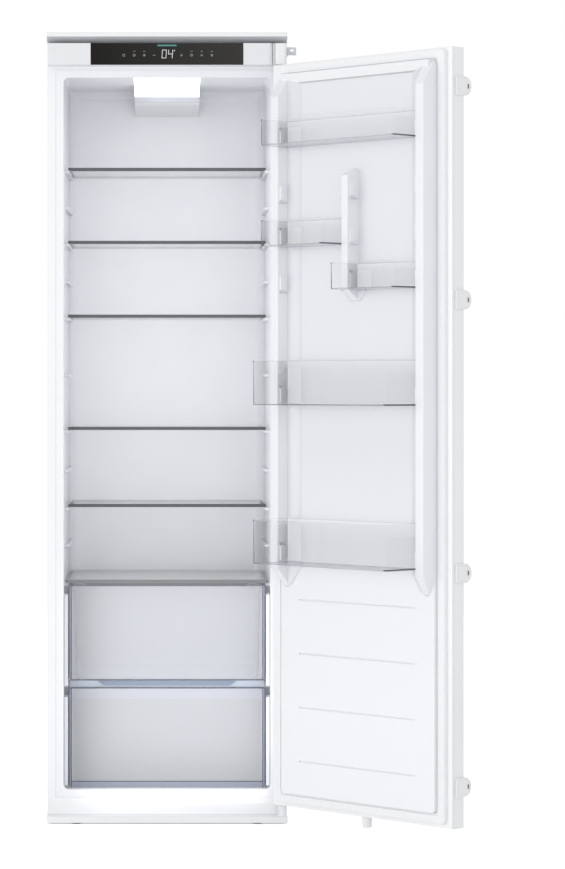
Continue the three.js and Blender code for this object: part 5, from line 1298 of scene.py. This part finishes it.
def add_world(scene):
    """Even white light all round, and a pure white background."""
    world = bpy.data.worlds.new("studio")
    tree = empty_tree(world)
    path = add_node(tree, "ShaderNodeLightPath").outputs
    rays = {0: path["Is Camera Ray"], 1: path["Is Glossy Ray"]}
    shown = add_node(tree, "ShaderNodeMath", rays, operation="ADD").outputs["Value"]
    rays = {0: shown, 1: path["Is Transmission Ray"]}
    seen = add_node(tree, "ShaderNodeMath", rays, operation="ADD", use_clamp=True)
    reach = {"Value": seen.outputs["Value"], "To Min": 0.78, "To Max": 1.0}
    strength = add_node(tree, "ShaderNodeMapRange", reach).outputs["Result"]
    white = {"Color": linear("#FFFFFF"), "Strength": strength}
    light = add_node(tree, "ShaderNodeBackground", white).outputs["Background"]
    add_node(tree, "ShaderNodeOutputWorld", {"Surface": light})
    scene.world = world


def add_floor():
    """A pale floor that fades into the background and keeps a soft shadow."""
    mesh = bmesh.new()
    bmesh.ops.create_grid(mesh, x_segments=1, y_segments=1, size=6.0)
    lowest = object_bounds()[0].z
    bmesh.ops.translate(mesh, vec=(0, 0, lowest), verts=mesh.verts)
    floor = add_object(mesh, "studio_floor")
    floor.data.materials.append(floor_material())
    floor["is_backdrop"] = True


def floor_material():
    """White paper: part of its white is its own glow, so that only the shadow shows."""
    made = bpy.data.materials.new("studio_paper")
    tree = empty_tree(made)
    path = add_node(tree, "ShaderNodeLightPath").outputs
    plain = add_node(tree, "ShaderNodeBsdfDiffuse", {"Color": linear("#FFFFFF")}).outputs["BSDF"]
    glow = add_node(tree, "ShaderNodeEmission", {"Strength": 0.4}).outputs["Emission"]
    both = add_node(tree, "ShaderNodeAddShader", {0: plain, 1: glow}).outputs["Shader"]
    mix = {0: path["Is Camera Ray"], 1: plain, 2: both}
    mixed = add_node(tree, "ShaderNodeMixShader", mix).outputs["Shader"]
    add_node(tree, "ShaderNodeOutputMaterial", {"Surface": mixed})
    return made


def add_lamps(scene):
    """A broad soft box in front and above, a smaller one from the left, and two lamps that are
    spread over the cavity's opening, high and low, and shine inwards."""
    add_soft_box(scene, "front_soft_box", (-0.2, -5.0, 1.4), (0, 0, 0.9), 3.0, 26)
    add_soft_box(scene, "left_soft_box", (-3.4, -2.2, 0.8), (0.2, -0.2, 0.8), 2.0, 27)
    low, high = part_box("inner_liner")
    height = high.z - low.z
    width = 0.4
    lamps = (("cavity_light", 0.5, 0.9, 1.0), ("drawer_light", 0.15, 0.3, 0.55))
    for name, share, reach, power in lamps:
        level = low.z + height * share
        place = (20 * MM, low.y - 30 * MM, level)
        inside = add_soft_box(scene, name, place, (0, high.y, level), width, power)
        inside.data.shape = "RECTANGLE"
        inside.data.size_y = height * reach
        inside.visible_camera = False
        inside.visible_glossy = False


def add_soft_box(scene, name, place, target, size, power):
    """A square area lamp that looks at a target."""
    data = bpy.data.lights.new(name, "AREA")
    data.size = size
    data.energy = power
    lamp = bpy.data.objects.new(name, data)
    lamp.location = place
    lamp.rotation_euler = (Vector(target) - Vector(place)).to_track_quat("-Z", "Y").to_euler()
    scene.collection.objects.link(lamp)
    return lamp


class REFRIGERATOR_OT_stage(bpy.types.Operator):
    """Set the camera, the pale floor and the soft studio light"""

    bl_idname = "refrigerator.stage"
    bl_label = "Stage"

    def execute(self, context):
        scene = context.scene
        scene.view_settings.view_transform = "Standard"
        add_camera(scene)
        add_world(scene)
        add_floor()
        add_lamps(scene)
        return {"FINISHED"}


OPERATORS = (
    REFRIGERATOR_OT_stage,
    REFRIGERATOR_OT_cabinet,
    REFRIGERATOR_OT_liner,
    REFRIGERATOR_OT_control_panel,
    REFRIGERATOR_OT_display,
    REFRIGERATOR_OT_fan_and_light,
    REFRIGERATOR_OT_shelves,
    REFRIGERATOR_OT_drawers,
    REFRIGERATOR_OT_door,
    REFRIGERATOR_OT_bins,
    REFRIGERATOR_OT_hinges,
    REFRIGERATOR_OT_machine_compartment,
    REFRIGERATOR_OT_screws,
)


class REFRIGERATOR_PT_pieces(bpy.types.Panel):
    """Lists the groups of pieces, and their sizes and colours"""

    bl_idname = "REFRIGERATOR_PT_pieces"
    bl_label = "Larder refrigerator"
    bl_space_type = "VIEW_3D"
    bl_region_type = "UI"
    bl_category = "Refrigerator"

    def draw(self, context):
        for operator in OPERATORS:
            self.layout.operator(operator.bl_idname)
        for group in (context.scene.refrigerator_sizes, context.scene.refrigerator_colours):
            box = self.layout.box()
            for name in group.__annotations__:
                box.prop(group, name)


CLASSES = (RefrigeratorSizes, RefrigeratorColours, *OPERATORS, REFRIGERATOR_PT_pieces)


def register():
    for one in CLASSES:
        bpy.utils.register_class(one)
    bpy.types.Scene.refrigerator_sizes = PointerProperty(type=RefrigeratorSizes)
    bpy.types.Scene.refrigerator_colours = PointerProperty(type=RefrigeratorColours)


def unregister():
    del bpy.types.Scene.refrigerator_colours
    del bpy.types.Scene.refrigerator_sizes
    for one in reversed(CLASSES):
        bpy.utils.unregister_class(one)


def main():
    """Registers the add-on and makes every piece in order."""
    register()
    bpy.ops.refrigerator.stage()
    bpy.ops.refrigerator.cabinet()
    bpy.ops.refrigerator.liner()
    bpy.ops.refrigerator.control_panel()
    bpy.ops.refrigerator.display()
    bpy.ops.refrigerator.fan_and_light()
    bpy.ops.refrigerator.shelves()
    bpy.ops.refrigerator.drawers()
    bpy.ops.refrigerator.door()
    bpy.ops.refrigerator.bins()
    bpy.ops.refrigerator.hinges()
    bpy.ops.refrigerator.machine_compartment()
    bpy.ops.refrigerator.screws()


if __name__ == "__main__":
    main()
